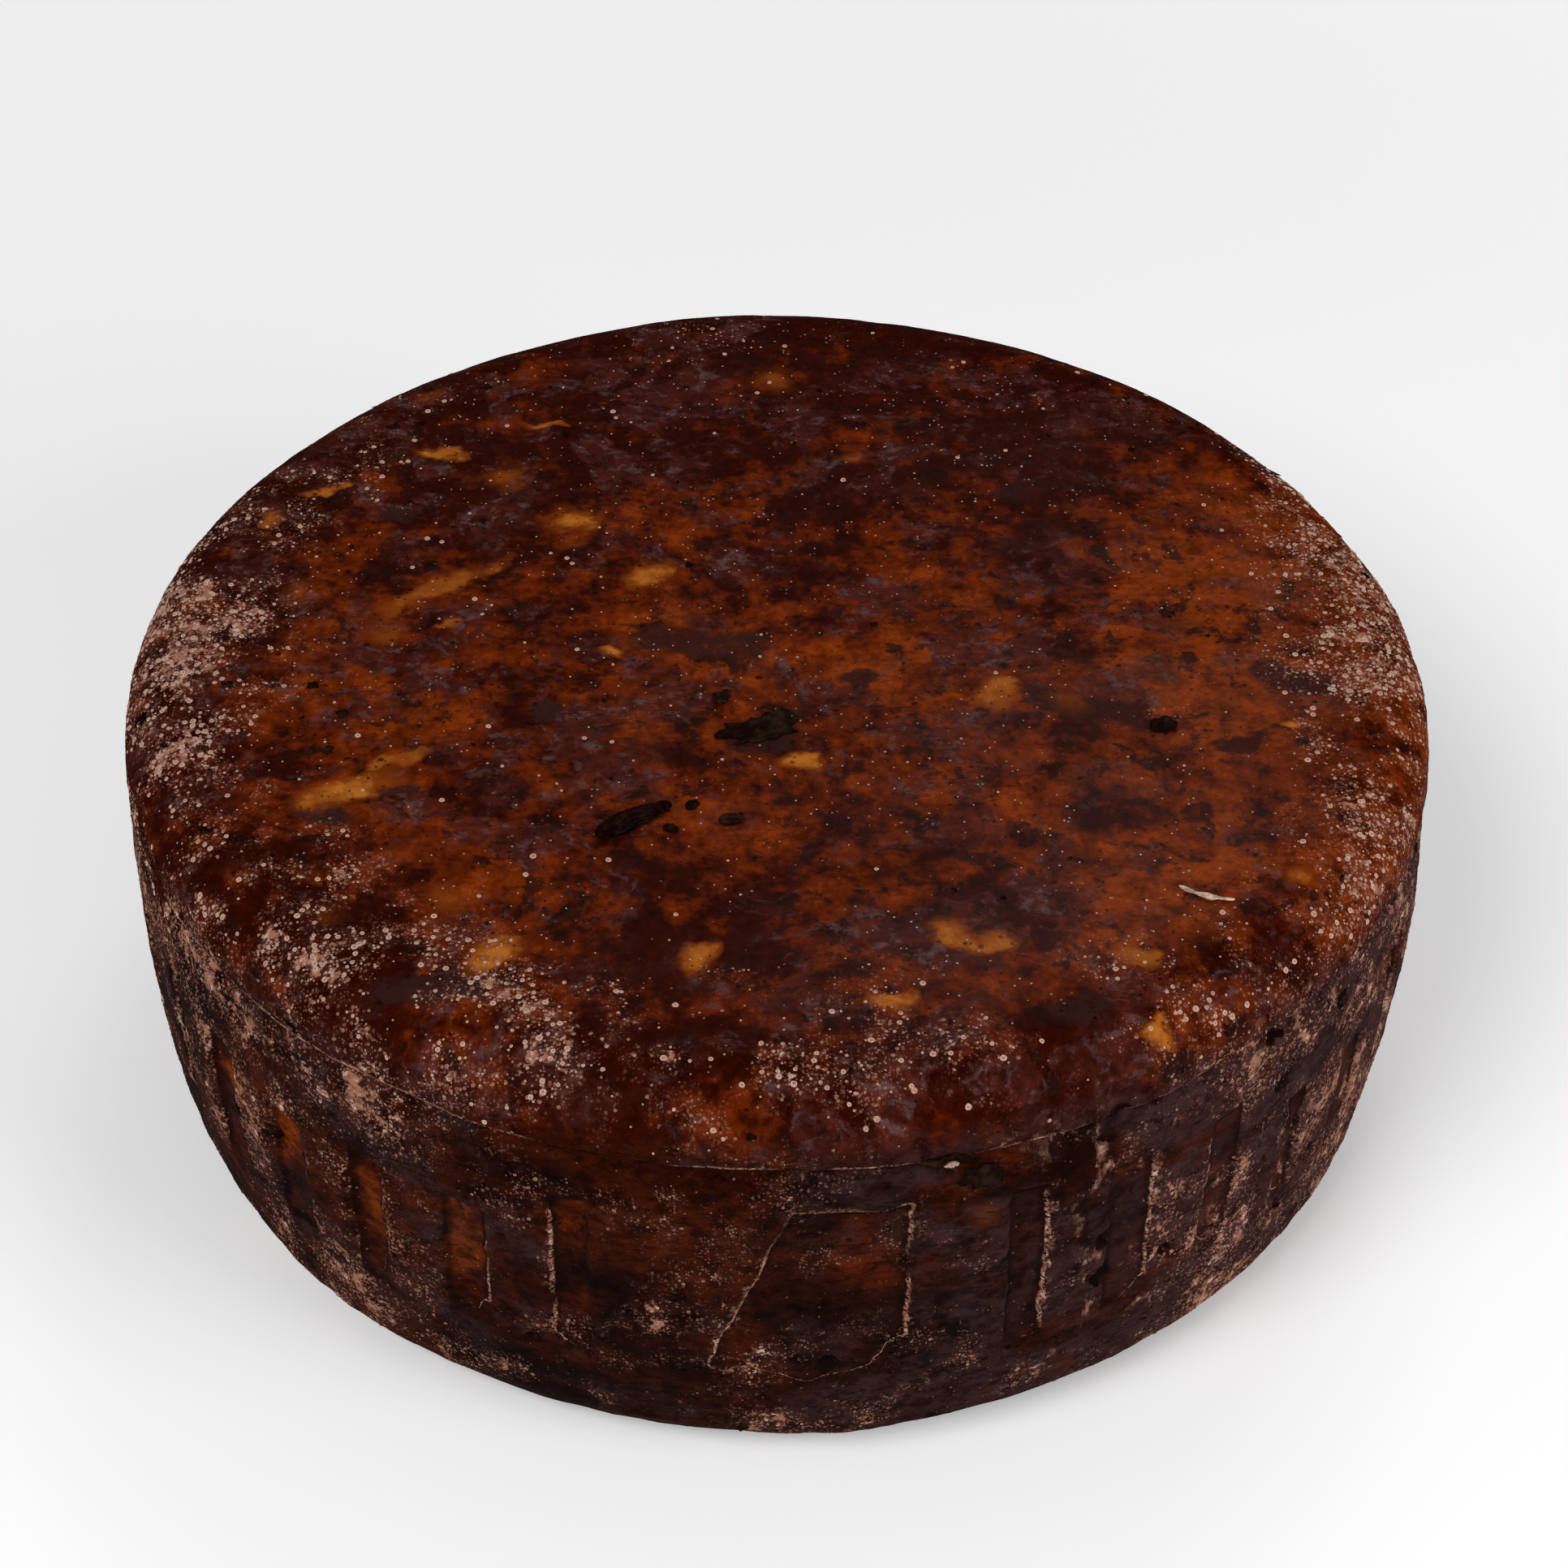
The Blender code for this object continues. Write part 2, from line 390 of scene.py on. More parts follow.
def panel_field(net, place, shape, frayed=True):
    """The nearest stave panel: distance out from its edge (negative inside), depth here, and the side of it
    whose edge line is part worn bloom, part painted highlight.

    The finish reads frayed outlines; the relief leaves out the fraying, which is finer than its faces.
    """
    swayed = net.shaken(place, 80.0, 0.0012, 1.0)
    angle, _, height = polar(net, net.shaken(swayed, 380.0, 0.0006) if frayed else swayed)
    pitch = 2 * math.pi * WHEEL_RADIUS / shape.panel_count
    turns = angle * (shape.panel_count / (2 * math.pi))
    cell = net.math("FLOOR", turns)
    lean = (net.chance(cell + 60.5) - 0.5) * (height - WHEEL_HEIGHT / 2) * 3.0
    off_middle = turns - cell - 0.25 + lean
    half = (net.chance(cell + 0.5) * 0.15 + 0.11) * pitch
    rise = net.chance(cell + 20.5) * 0.011
    middle = (shape.panel_low + shape.panel_high) / 2
    tall = (shape.panel_high - shape.panel_low) / 2
    ends = net.size(height - middle + rise * 0.5) - tall + rise
    x, _, _ = net.split(place)
    strength = net.ramp(net.chance(cell + 41.5) + net.ramp(x, -0.05, -0.09), 0.0, 0.6) * 0.75 + 0.25
    flip = net.over(net.chance(cell + 80.5), 0.6) * 2.0 - 1.0

    from_front = (angle - FRONT) * WHEEL_RADIUS
    clear = net.ramp(net.size(from_front), shape.hoop_clear, shape.hoop_clear - 0.0005)
    staves = net.high(net.size(off_middle) * pitch - half, ends) + clear
    slant = (height - shape.panel_high) * shape.hoop_slant
    hoop = net.high(slant + shape.hoop_left - from_front, from_front - shape.hoop_right)
    hoop = net.high(hoop, net.size(height - middle) - tall)

    away = net.noise(place, 30.0, 3.0) - 0.5
    foot = net.ramp(height + away * 0.05, shape.panel_low - 0.002, shape.panel_low + 0.022)
    head = net.ramp(height + away * 0.03, shape.panel_high + 0.001, shape.panel_high - 0.009)
    depth = net.high(strength, clear * 0.8) * foot * (head * 0.8 + 0.2)
    flank = net.high(net.ramp(off_middle * flip, -0.02, 0.02), clear) * net.ramp(ends, -0.001, -0.006)
    return net.low(staves, hoop), depth, net.high(flank, clear * 0.6)


def seam_field(net, place, shape):
    """Height above the wavering line that the mould's lid left."""
    _, _, height = net.split(place)
    sway = (net.noise(place, 11.0, 2.0, stretch=(1.0, 1.0, 0.0)) - 0.5) * 0.006
    return height - shape.seam_height - sway


def pit_field(net, place):
    """0 on sound rind and 1 at the bottom of a pit; pits are only on the side, and most are at the right."""
    x, _, height = net.split(place)
    ragged = net.shaken(place, 210.0, 0.0026)
    distance, (chance, spread, _) = net.cells(ragged, 84.0)
    there = net.over(chance + net.ramp(x, 0.0, 0.08) * 0.27, 0.90)
    there = there * net.ramp(height, 0.100, 0.090) * net.ramp(height, 0.006, 0.014)
    return net.ramp(distance, spread * 0.18 + 0.17, 0.10) * there


def edge_bloom(net, place):
    """How thickly dry bloom lies on the rounded upper edge, 0 to 1: most at the left, then at the front."""
    x, y, height = net.split(place)
    _, reach, _ = polar(net, place)
    left = net.ramp(x, -0.075, -0.115) * (net.ramp(y, 0.080, 0.010) * 0.7 + 0.3)
    front = net.ramp(y, -0.080, -0.112) * net.ramp(height, 0.094, 0.103)
    front = front * (net.ramp(x, 0.0, -0.04) * 0.45 + 0.45)
    right = net.ramp(x, 0.100, 0.122) * net.ramp(height, 0.095, 0.104) * 0.75
    corner = net.ramp(x, -0.045, -0.085) * net.ramp(y, -0.030, -0.070)
    near = net.either(left, front, right, corner)
    band = net.ramp(reach, 0.100, 0.126) * net.ramp(height + corner * 0.012, 0.080, 0.098)
    uneven = net.noise(place, 25.0, 4.0, 0.6) * 0.5 + net.noise(place, 85.0, 4.0, 0.6) * 0.5
    uneven = uneven + near * 0.05 + net.ramp(x, 0.105, 0.128) * 0.06 + corner * 0.024
    return net.ramp(uneven, 0.49, 0.65) * band * (near * 0.85 + 0.15)


def wall_bloom(net, place):
    """Dry bloom on the side: its patches, their finer noise, and masks of the left and of the right."""
    x, _, _ = net.split(place)
    finer = net.noise(place, 72.0, 4.0, 0.6)
    patches = net.noise(place, 23.0, 5.0, 0.65) * 0.5 + finer * 0.5
    return patches, finer, net.ramp(x, -0.030, -0.090), net.ramp(x, 0.040, 0.100)


# ----------------------------------------------------------------------------------------------------
# Making meshes


def new_object(name, mesh):
    item = bpy.data.objects.new(name, mesh)
    bpy.context.scene.collection.objects.link(item)
    return item


def settle(item):
    """Swaps in the mesh that the object's modifiers make, and removes them."""
    graph = bpy.context.evaluated_depsgraph_get()
    graph.update()
    copied = {"preserve_all_data_layers": True, "depsgraph": graph}
    mesh = bpy.data.meshes.new_from_object(item.evaluated_get(graph), **copied)
    item.modifiers.clear()
    old = item.data
    item.data = mesh
    bpy.data.meshes.remove(old)


def geometry_tree(name, sizes):
    """A Geometry Nodes tree with named number inputs; gives its net, its inputs and its end node."""
    tree = bpy.data.node_groups.new(name, "GeometryNodeTree")
    tree.interface.new_socket(name="Geometry", in_out="INPUT", socket_type="NodeSocketGeometry")
    for label in sizes:
        tree.interface.new_socket(name=label, in_out="INPUT", socket_type="NodeSocketFloat")
    tree.interface.new_socket(name="Geometry", in_out="OUTPUT", socket_type="NodeSocketGeometry")
    net = Net(tree)
    start = tree.nodes.new("NodeGroupInput")
    end = tree.nodes.new("NodeGroupOutput")
    wires = [Wire(net, start.outputs[label]) for label in ["Geometry", *sizes]]
    return net, wires, end.inputs[0]


def apply_tree(item, net, sizes):
    """Puts the tree on an object, sets its inputs by their identifiers and keeps the result."""
    modifier = item.modifiers.new(net.tree.name, "NODES")
    modifier.node_group = net.tree
    for socket in net.tree.interface.items_tree:
        if socket.in_out == "INPUT" and socket.name in sizes:
            modifier[socket.identifier] = float(sizes[socket.name])
    settle(item)


def finish_piece(item, material, stands_for=()):
    """Gives a piece its material and tells the frame what it is."""
    item.data.materials.clear()
    item.data.materials.append(material)
    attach(item, BODY)
    for node in stands_for:
        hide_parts(node)


# ----------------------------------------------------------------------------------------------------
# The rind's mesh


def barrel_radius(shape, height):
    """Radius of the side at a height: widest half way up."""
    off_middle = (height - WHEEL_HEIGHT / 2) / (WHEEL_HEIGHT / 2)
    return WHEEL_RADIUS - shape.swell * off_middle**2


def side_outline(shape, steps=60):
    """The outline from the rim of the flat top, round both edges, to the rim of the flat base."""
    upper, lower = WHEEL_HEIGHT - shape.top_drop, shape.base_drop
    points = []
    for angle in np.linspace(0.0, math.pi / 2, steps):
        inset = shape.top_reach * (1 - math.sin(angle))
        points.append((barrel_radius(shape, upper) - inset, upper + shape.top_drop * math.cos(angle)))
    for height in np.linspace(upper, lower, steps)[1:]:
        points.append((barrel_radius(shape, height), height))
    for angle in np.linspace(0.0, math.pi / 2, steps)[1:]:
        inset = shape.base_reach * (1 - math.cos(angle))
        points.append((barrel_radius(shape, lower) - inset, lower * (1 - math.sin(angle))))
    return np.array(points)


def evenly(points, step):
    """The same outline with its points an even step apart, and each point's distance along it."""
    along = np.concatenate([[0.0], np.cumsum(np.linalg.norm(np.diff(points, axis=0), axis=1))])
    spots = np.linspace(0.0, along[-1], round(along[-1] / step) + 1)
    return np.stack([np.interp(spots, along, points[:, axis]) for axis in (0, 1)], axis=1), spots


def disc_counts(radii, finest, spacing):
    """Segments of each flat ring, halved towards the middle so that faces don't get too narrow."""
    narrowest = spacing * 0.62
    counts = []
    count = finest
    for radius in radii:
        while count % 2 == 0 and 2 * math.pi * radius / count < narrowest:
            count //= 2
        counts.append(count)
    return counts


def rind_rings(shape):
    """(radius, height, segments, distance from the top's middle) of each ring, from the top to the base."""
    side, along = evenly(side_outline(shape), shape.side_step)
    rim = side[0][0]
    top_radii = np.linspace(rim, 0.0, round(rim / shape.top_step) + 1)[1:-1]
    top_counts = disc_counts(top_radii, shape.finest, shape.top_step)
    rings = [(r, WHEEL_HEIGHT, n, r) for r, n in zip(top_radii, top_counts)][::-1]
    rings += [(r, z, shape.finest, rim + s) for (r, z), s in zip(side, along)]
    foot = side[-1][0]
    base_radii = np.linspace(foot, 0.0, round(foot / shape.base_step) + 1)[1:-1]
    base_counts = disc_counts(base_radii, shape.finest, shape.base_step)
    whole = rim + along[-1]
    rings += [(r, 0.0, n, whole + foot - r) for r, n in zip(base_radii, base_counts)]
    return rings, whole + foot


def ring_faces(upper, lower, count_upper, count_lower):
    """Faces between two rings as (ring, step) corners; where the counts differ, one is half of the other."""
    if count_upper == count_lower:
        for step in range(count_upper):
            yield ((upper, step), (lower, step), (lower, step + 1), (upper, step + 1))
        return
    for step in range(min(count_upper, count_lower)):
        if count_lower > count_upper:
            middle = (lower, 2 * step + 1)
            yield ((upper, step), (lower, 2 * step), middle)
            yield ((upper, step), middle, (upper, step + 1))
            yield ((upper, step + 1), middle, (lower, 2 * step + 2))
        else:
            middle = (upper, 2 * step + 1)
            yield ((upper, 2 * step), (lower, step), middle)
            yield (middle, (lower, step), (lower, step + 1))
            yield (middle, (lower, step + 1), (upper, 2 * step + 2))


def steps_down(rings):
    """The rings, with more wherever the count drops by more than half, so that neighbours match or halve."""
    result = [rings[0]]
    for ring in rings[1:]:
        count = ring[2]
        last = result[-1]
        while max(last[2], count) > 2 * min(last[2], count):
            between = last[2] // 2 if last[2] > count else last[2] * 2
            radius, height, _, along = [(a + b) / 2 for a, b in zip(last, ring)]
            last = (radius, height, between, along)
            result.append(last)
        result.append(ring)
    return result


class RindMap:
    """Where each part of the rind lies on its flat map: the top and base as discs, the side as two strips."""

    MARGIN = 0.005
    STRIP_ROWS = (0.005, 0.255)
    STRIP_TALL = 0.240
    TOP_MIDDLE, TOP_SPAN = (0.262, 0.755), 0.236
    BASE_MIDDLE, BASE_SPAN = (0.765, 0.755), 0.165
    EDGE_SHARE = 0.4  # how much of a rounded edge the disc beside it takes in

    def __init__(self, rings, whole, shape):
        edge_length = (shape.top_reach + shape.top_drop) * self.EDGE_SHARE
        base_length = (shape.base_reach + shape.base_drop) * self.EDGE_SHARE
        self.rings = rings
        self.whole = whole
        self.top_end = barrel_radius(shape, WHEEL_HEIGHT) - shape.top_reach + edge_length
        self.side_end = whole - (barrel_radius(shape, 0.0) - shape.base_reach) - base_length
        self.finest = shape.finest

    def chart(self, along):
        if along < self.top_end:
            return "top"
        return "side" if along < self.side_end else "base"

    def place(self, chart, half, ring, step):
        _, _, count, along = self.rings[ring]
        turn = step / count
        if chart == "side":
            part = (along - self.top_end) / (self.side_end - self.top_end)
            across = (turn - 0.5 * half) * 2
            u = self.MARGIN + (1 - 2 * self.MARGIN) * across
            return u, self.STRIP_ROWS[half] + self.STRIP_TALL * (1 - part)
        if chart == "top":
            middle, radius = self.TOP_MIDDLE, self.TOP_SPAN * along / self.top_end
        else:
            middle = self.BASE_MIDDLE
            radius = self.BASE_SPAN * (self.whole - along) / (self.whole - self.side_end)
        angle = 2 * math.pi * turn
        return middle[0] + radius * math.cos(angle), middle[1] + radius * math.sin(angle)


def rind_mesh(shape):
    """The smooth wheel as rings of faces with its own flat map; the relief comes afterwards."""
    rings, whole = rind_rings(shape)
    rings = steps_down(rings)
    flat_map = RindMap(rings, whole, shape)
    starts, points = [], []
    for radius, height, count, _ in rings:
        starts.append(len(points))
        angles = 2 * math.pi * np.arange(count) / count
        points += [(radius * math.cos(a), radius * math.sin(a), height) for a in angles]
    top_middle, base_middle = len(points), len(points) + 1
    points += [(0.0, 0.0, WHEEL_HEIGHT), (0.0, 0.0, 0.0)]

    faces, map_places = [], []

    def add_face(corners, chart, half):
        faces.append([starts[ring] + step % rings[ring][2] for ring, step in corners])
        map_places.extend(flat_map.place(chart, half, ring, step) for ring, step in corners)

    for upper in range(len(rings) - 1):
        chart = flat_map.chart((rings[upper][3] + rings[upper + 1][3]) / 2)
        for corners in ring_faces(upper, upper + 1, rings[upper][2], rings[upper + 1][2]):
            half = int(corners[0][1] >= rings[upper][2] / 2)
            add_face(corners, chart, half)
    last = len(rings) - 1
    for step in range(rings[0][2]):
        faces.append([top_middle, starts[0] + step, starts[0] + (step + 1) % rings[0][2]])
        map_places += [flat_map.TOP_MIDDLE]
        map_places += [flat_map.place("top", 0, 0, step), flat_map.place("top", 0, 0, step + 1)]
    for step in range(rings[last][2]):
        faces.append([base_middle, starts[last] + (step + 1) % rings[last][2], starts[last] + step])
        map_places += [flat_map.BASE_MIDDLE]
        map_places += [flat_map.place("base", 0, last, step + 1), flat_map.place("base", 0, last, step)]

    mesh = bpy.data.meshes.new("wheel_rind")
    mesh.from_pydata(points, [], faces)
    layer = mesh.uv_layers.new(name=BAKE_MAP)
    layer.data.foreach_set("uv", np.array(map_places, dtype=np.float32).ravel())
    mesh.shade_smooth()
    return mesh


def relief_tree(shape):
    """Moves the rind's points in and out: lumps, dents, wrinkles, stave panels, seam and pits."""
    sizes = ["Lumps", "Dents", "Wrinkles", "Panel depth", "Seam depth", "Pit depth"]
    net, wires, end = geometry_tree("Rind relief", sizes)
    geometry, lumps, dents, wrinkles, panel_depth, seam_depth, pit_depth = wires
    place = net.add("GeometryNodeInputPosition")
    _, reach, height = polar(net, place)
    side = net.ramp(height, WHEEL_HEIGHT + 0.001, WHEEL_HEIGHT - 0.012)

    def swing(value):
        return (value - 0.5) * 2

    relief = lumps * swing(net.noise(place, 6.5, 2.0))
    relief = relief + dents * swing(net.noise(place, 26.0, 3.0)) * (side * 0.6 + 0.7)
    crease = net.noise(place, 95.0, 5.0, 0.6, stretch=(1.0, 1.0, 2.2))
    relief = relief + wrinkles * swing(crease) * (side * 1.1 + 0.35)

    outside, depth, _ = panel_field(net, place, shape, frayed=False)
    relief = relief - panel_depth * depth * net.ramp(outside, 0.0011, -0.0011)
    above = seam_field(net, place, shape)
    lip = net.ramp(above, -0.0004, 0.0008) * net.ramp(above, 0.014, 0.003)
    groove = net.ramp(net.size(above + 0.0009), 0.0017, 0.0002)
    relief = relief + seam_depth * (lip * 0.7 - groove)
    relief = relief - pit_depth * pit_field(net, place)
    relief = relief - net.ramp(reach, 0.128, 0.02) * (1.0 - side) * 0.0010  # the top sags a little

    flat_base = net.ramp(height, 0.0005, 0.012)
    normal = net.add("GeometryNodeInputNormal")
    offset = net.scaled(normal, relief * flat_base)
    moved = net.add("GeometryNodeSetPosition", None, {"Geometry": geometry, "Offset": offset})
    net.feed(end, moved)
    return net


# ----------------------------------------------------------------------------------------------------
# The rind's finish

# Patches on the top, in millimetres and degrees: x, y, length, width, turn.
# Each oval is drawn smaller than its length and width by PATCH_DRAW, because its ragged edge adds to it.
PATCH_DRAW = 8 / 9
# Amber spots are where the pale paste shows.
AMBER_PATCHES = (
    (-79, 16, 34, 6, 42),
    (-48, 45, 12, 10, 0),
    (-30, 24, 12, 9, 30),
    (-92, -54, 22, 9, 25),
    (-82, -45, 12, 4, 20),
    (49, -19, 9, 11, 0),
    (36, -97, 12, 7, -25),
    (43, -99, 9, 6, 15),
    (6, -42, 10, 6, 0),
    (-15, -103, 8, 8, 30),
    (-56, -104, 13, 7, 40),
    (-84, 73, 13, 4, -5),
    (-121, 44, 5, 8, 0),
    (-110, 57, 15, 3, 10),
    (-58, 85, 8, 3, 0),
    (73, -103, 9, 6, -20),
    (75, -121, 6, 5, 0),
    (23, -117, 9, 6, 20),
    (-38, -5, 6, 5, 0),
    (114, -29, 9, 3, 0),
    (107, -79, 6, 6, 0),
    (-76, 3, 7, 4, 30),
)
# Dull smears of dried marc, with the same five numbers.
SOOT_PATCHES = (
    (70, -24, 38, 10, -18),
    (116, -14, 26, 11, -8),
    (-65, -114, 32, 10, 5),
    (-16, -2, 34, 12, -8),
    (-3, -34, 20, 11, 10),
    (100, -36, 14, 6, 20),
    (89, -60, 9, 8, 0),
    (-96, -62, 16, 8, -30),
    (-81, -54, 11, 4, 0),
    (-91, 47, 9, 6, 0),
    (55, -98, 8, 9, 20),
    (60, -118, 15, 8, 10),
    (20, -14, 14, 5, 0),
    (-52, -28, 8, 8, 0),
    (69, -62, 12, 5, 20),
)


def patch_spread(net, ragged, patches):
    """Below 1 inside the nearest of a list of oval patches on the top, and above 1 outside."""
    x, y, height = net.split(ragged)
    result = None
    for across, along, length, width, turn in patches:
        cos, sin = math.cos(math.radians(turn)), math.sin(math.radians(turn))
        x0, y0 = x - across / 1000, y - along / 1000
        long_part = (x0 * cos + y0 * sin) * (2000 / PATCH_DRAW / length)
        wide_part = (y0 * cos - x0 * sin) * (2000 / PATCH_DRAW / width)
        spread = long_part * long_part + wide_part * wide_part
        result = spread if result is None else net.low(result, spread)
    return result + net.ramp(height, 0.100, 0.090) * 9.0


class RindPlace:
    """Where a point of the rind lies, and the noises that its layers share."""

    def __init__(self, net):
        self.place = net.place
        self.x, self.y, _ = net.split(self.place)
        _, reach, self.height = polar(net, self.place)
        self.side = net.ramp(self.height, WHEEL_HEIGHT - 0.006, WHEEL_HEIGHT - 0.017)
        self.upper_edge = net.ramp(reach, 0.114, 0.140) * net.ramp(self.height, 0.074, 0.095)
        # Noises from coarse to fine, and two with more depth: upright streaks of the wall and lacy crusts.
        self.middling = net.noise(self.place, 55.0, 5.0, 0.6)
        self.fine = net.noise(self.place, 170.0, 5.0, 0.65)
        self.grain = net.noise(self.place, 520.0, 4.0, 0.6)
        self.streaks = net.noise(self.place, 250.0, 6.0, 0.72, stretch=(1.0, 1.0, 1.6))
        self.lace = net.noise(self.place, 330.0, 6.0, 0.72)
        # The place itself, shaken and stretched for patterns with ragged, smeared or flattened outlines.
        self.ragged = net.shaken(net.shaken(self.place, 85.0, 0.0055), 300.0, 0.0018)
        self.smeared = net.vector("MULTIPLY", net.shaken(self.place, 34.0, 0.009), (1.0, 1.15, 1.0))
        self.flattened = net.vector("MULTIPLY", self.place, (1.0, 1.0, 1.9))


def wax_layers(net, at, finish):
    """Colour of the waxy top: oxblood with an orange glow, purple haze, wisps and fuzzy dark blotches."""
    # The glow is made stronger towards the right and weaker towards the left, the back, the front and the
    # rounded upper edge.
    front = net.ramp(at.y, -0.05, -0.11) * (net.ramp(at.x, 0.0, 0.05) * 0.04 + 0.02)
    drift = net.ramp(at.x, 0.05, 0.12) * 0.17 - net.ramp(at.x, -0.01, -0.10) * 0.035
    drift = drift - net.ramp(at.y, 0.0, 0.11) * 0.17 - front - at.upper_edge * 0.07
    warmth = net.noise(at.place, 21.0, 4.0, 0.55) * 0.8 + 0.1 + drift
    warmth = warmth + (at.middling - 0.5) * 0.8 + (at.fine - 0.5) * 0.55
    tint = net.mix(net.ramp(warmth, 0.35, 0.53), finish.oxblood, finish.rust)
    tint = net.mix(net.ramp(warmth, 0.50, 0.70), tint, finish.ember)

    haze = net.noise(at.smeared, 66.0, 6.0, 0.66)
    cloud = net.ramp(net.noise(at.place, 24.0, 3.0), 0.34, 0.54) * (1.0 - net.ramp(at.x, 0.05, 0.12) * 0.55)
    tint = net.mix(net.ramp(haze, 0.48, 0.57) * cloud * 0.87, tint, finish.plum)
    blotches = net.ramp(net.noise(at.smeared, 125.0, 6.0, 0.66), 0.54, 0.63)
    small = net.ramp(net.noise(at.ragged, 260.0, 5.0, 0.62), 0.59, 0.66)
    tint = net.mix(net.either(blotches * 0.85, small * 0.5), tint, finish.marc)
    wisps = net.ramp(net.noise(at.smeared, 230.0, 6.0, 0.72), 0.51, 0.63)
    wisps = wisps * net.ramp(haze, 0.46, 0.56) * cloud
    tint = net.mix(wisps * 0.7, tint, finish.smoke)
    shade = net.ramp(at.fine, 0.30, 0.68) * 0.45 + net.ramp(at.grain, 0.30, 0.70) * 0.50 + 0.55
    return net.scaled(tint, shade), wisps


def soot_mask(net, at):
    """Where dull smears of marc have dried on the top."""
    smears = net.ramp(patch_spread(net, at.ragged, SOOT_PATCHES) + (at.fine - 0.5) * 2.6, 1.5, 0.6)
    return smears * net.ramp(at.grain + at.fine * 0.5, 0.50, 0.75)


def amber_masks(net, at):
    """The glow round the amber spots, the spots and their bright cores: placed ones, and stray small ones."""
    spread = patch_spread(net, at.ragged, AMBER_PATCHES) + (at.fine - 0.5) * 2.6 + (at.grain - 0.5) * 0.8
    distance, (chance, size, _) = net.cells(at.ragged, 46.0)
    stray = net.over(chance, 0.80) * (1.0 - at.side * 0.75)
    distance = distance + (at.fine - 0.5) * 0.35
    stray_halo = net.ramp(distance, size * 0.22 + 0.15, 0.06) * stray * 0.7
    stray_spot = net.ramp(distance, size * 0.15 + 0.09, 0.02) * stray * 0.8
    halo = net.either(net.ramp(spread, 2.1, 0.7) * 0.8, stray_halo)
    spots = net.either(net.ramp(spread, 1.3, 0.1), stray_spot)
    uneven = net.ramp(net.noise(at.place, 31.0, 3.0), 0.40, 0.60) * 0.65 + 0.35
    mottled = net.noise(at.place, 230.0, 5.0, 0.65) + (at.grain - 0.5) * 0.3 - spread * 0.16
    return halo, spots * (uneven * 0.5 + 0.5), spots * net.ramp(mottled, 0.28, 0.62) * uneven


def wall_layers(net, at, sunk, outside, finish):
    """Colour of the side: umber and mahogany with a grey dried coat, red wax kept in the panels, and painted
    shade in the panels' inner corners and on their floors.
    """
    red = net.ramp(net.noise(at.flattened, 26.0, 5.0, 0.6), 0.36, 0.64)
    tint = net.mix(red, finish.umber, finish.mahogany)
    leftward = net.ramp(at.x, 0.01, -0.05)
    ember = net.ramp(net.noise(at.place, 44.0, 4.0) + leftward * 0.05, 0.50, 0.66)
    ember = ember * net.ramp(at.height, 0.024, 0.060)
    tint = net.mix(ember * (sunk * (0.34 + leftward * 0.36) + 0.16), tint, finish.rust)
    tint = net.mix(net.ramp(ember, 0.55, 1.0) * sunk * leftward * 0.6, tint, finish.halo)
    coat = net.noise(at.flattened, 19.0, 6.0, 0.66) + net.ramp(at.x, 0.0, 0.10) * 0.10
    coat = net.ramp(coat, 0.47, 0.60) * net.ramp(at.fine, 0.30, 0.52) * (1.0 - sunk * 0.45)
    tint = net.mix(coat * 0.92, tint, finish.ash)
    # Painted shade: umber darkens the panels' inner corners strongly and their whole floors a little.
    corner = net.ramp(outside, -0.0026, -0.0003) * sunk
    tint = net.mix(net.high(corner * 0.80, sunk * 0.18), tint, finish.umber)
    shade = net.ramp(at.fine, 0.30, 0.68) * 0.45 + net.ramp(at.streaks, 0.38, 0.60) * 0.85 + 0.30
    # The side is made lighter towards the right.
    return net.scaled(tint, shade + net.ramp(at.x, 0.03, 0.09) * 0.40), coat


def creases(net, at):
    """Thin, nearly level creases in the side, which have no relief and are painted dark as painted shade: 1
    along each line.
    """
    swayed = net.shaken(at.place, 40.0, 0.004)
    layers = []
    for scale, flat, width in ((21.0, 5.0, 0.010), (34.0, 6.0, 0.009), (80.0, 2.6, 0.016)):
        flow = net.noise(swayed, scale, 3.0, stretch=(1.0, 1.0, flat))
        lines = net.ramp(net.size(flow - 0.5), width, width * 0.15)
        layers.append(lines * net.ramp(net.noise(at.place, scale * 2.2, 3.0), 0.44, 0.56))
    return net.either(*layers) * at.side


def worn_and_highlight_lines(net, at, outside, flank, above_seam):
    """Pale lines, partly crumbs of worn bloom and partly painted highlight: along one side of each panel's
    edges and along the lip above the seam.
    """
    worn = net.noise(at.place, 50.0, 5.0, 0.65)
    rim = net.ramp(net.size(outside - 0.0001), 0.0005, 0.0001) * net.ramp(worn, 0.40, 0.50)
    crumbly = net.ramp(outside, 0.0024, 0.0001) * net.ramp(outside, -0.0003, 0.0001)
    crumbly = crumbly * net.ramp(worn, 0.48, 0.60) * net.ramp(at.lace, 0.50, 0.56)
    seam = net.ramp(net.size(above_seam - 0.0004), 0.0008, 0.0002) * net.ramp(worn, 0.40, 0.54)
    powder = net.ramp(net.noise(at.place, 1500.0, 3.0), 0.40, 0.52)
    return net.either(net.either(rim, crumbly) * flank, seam) * powder * at.side


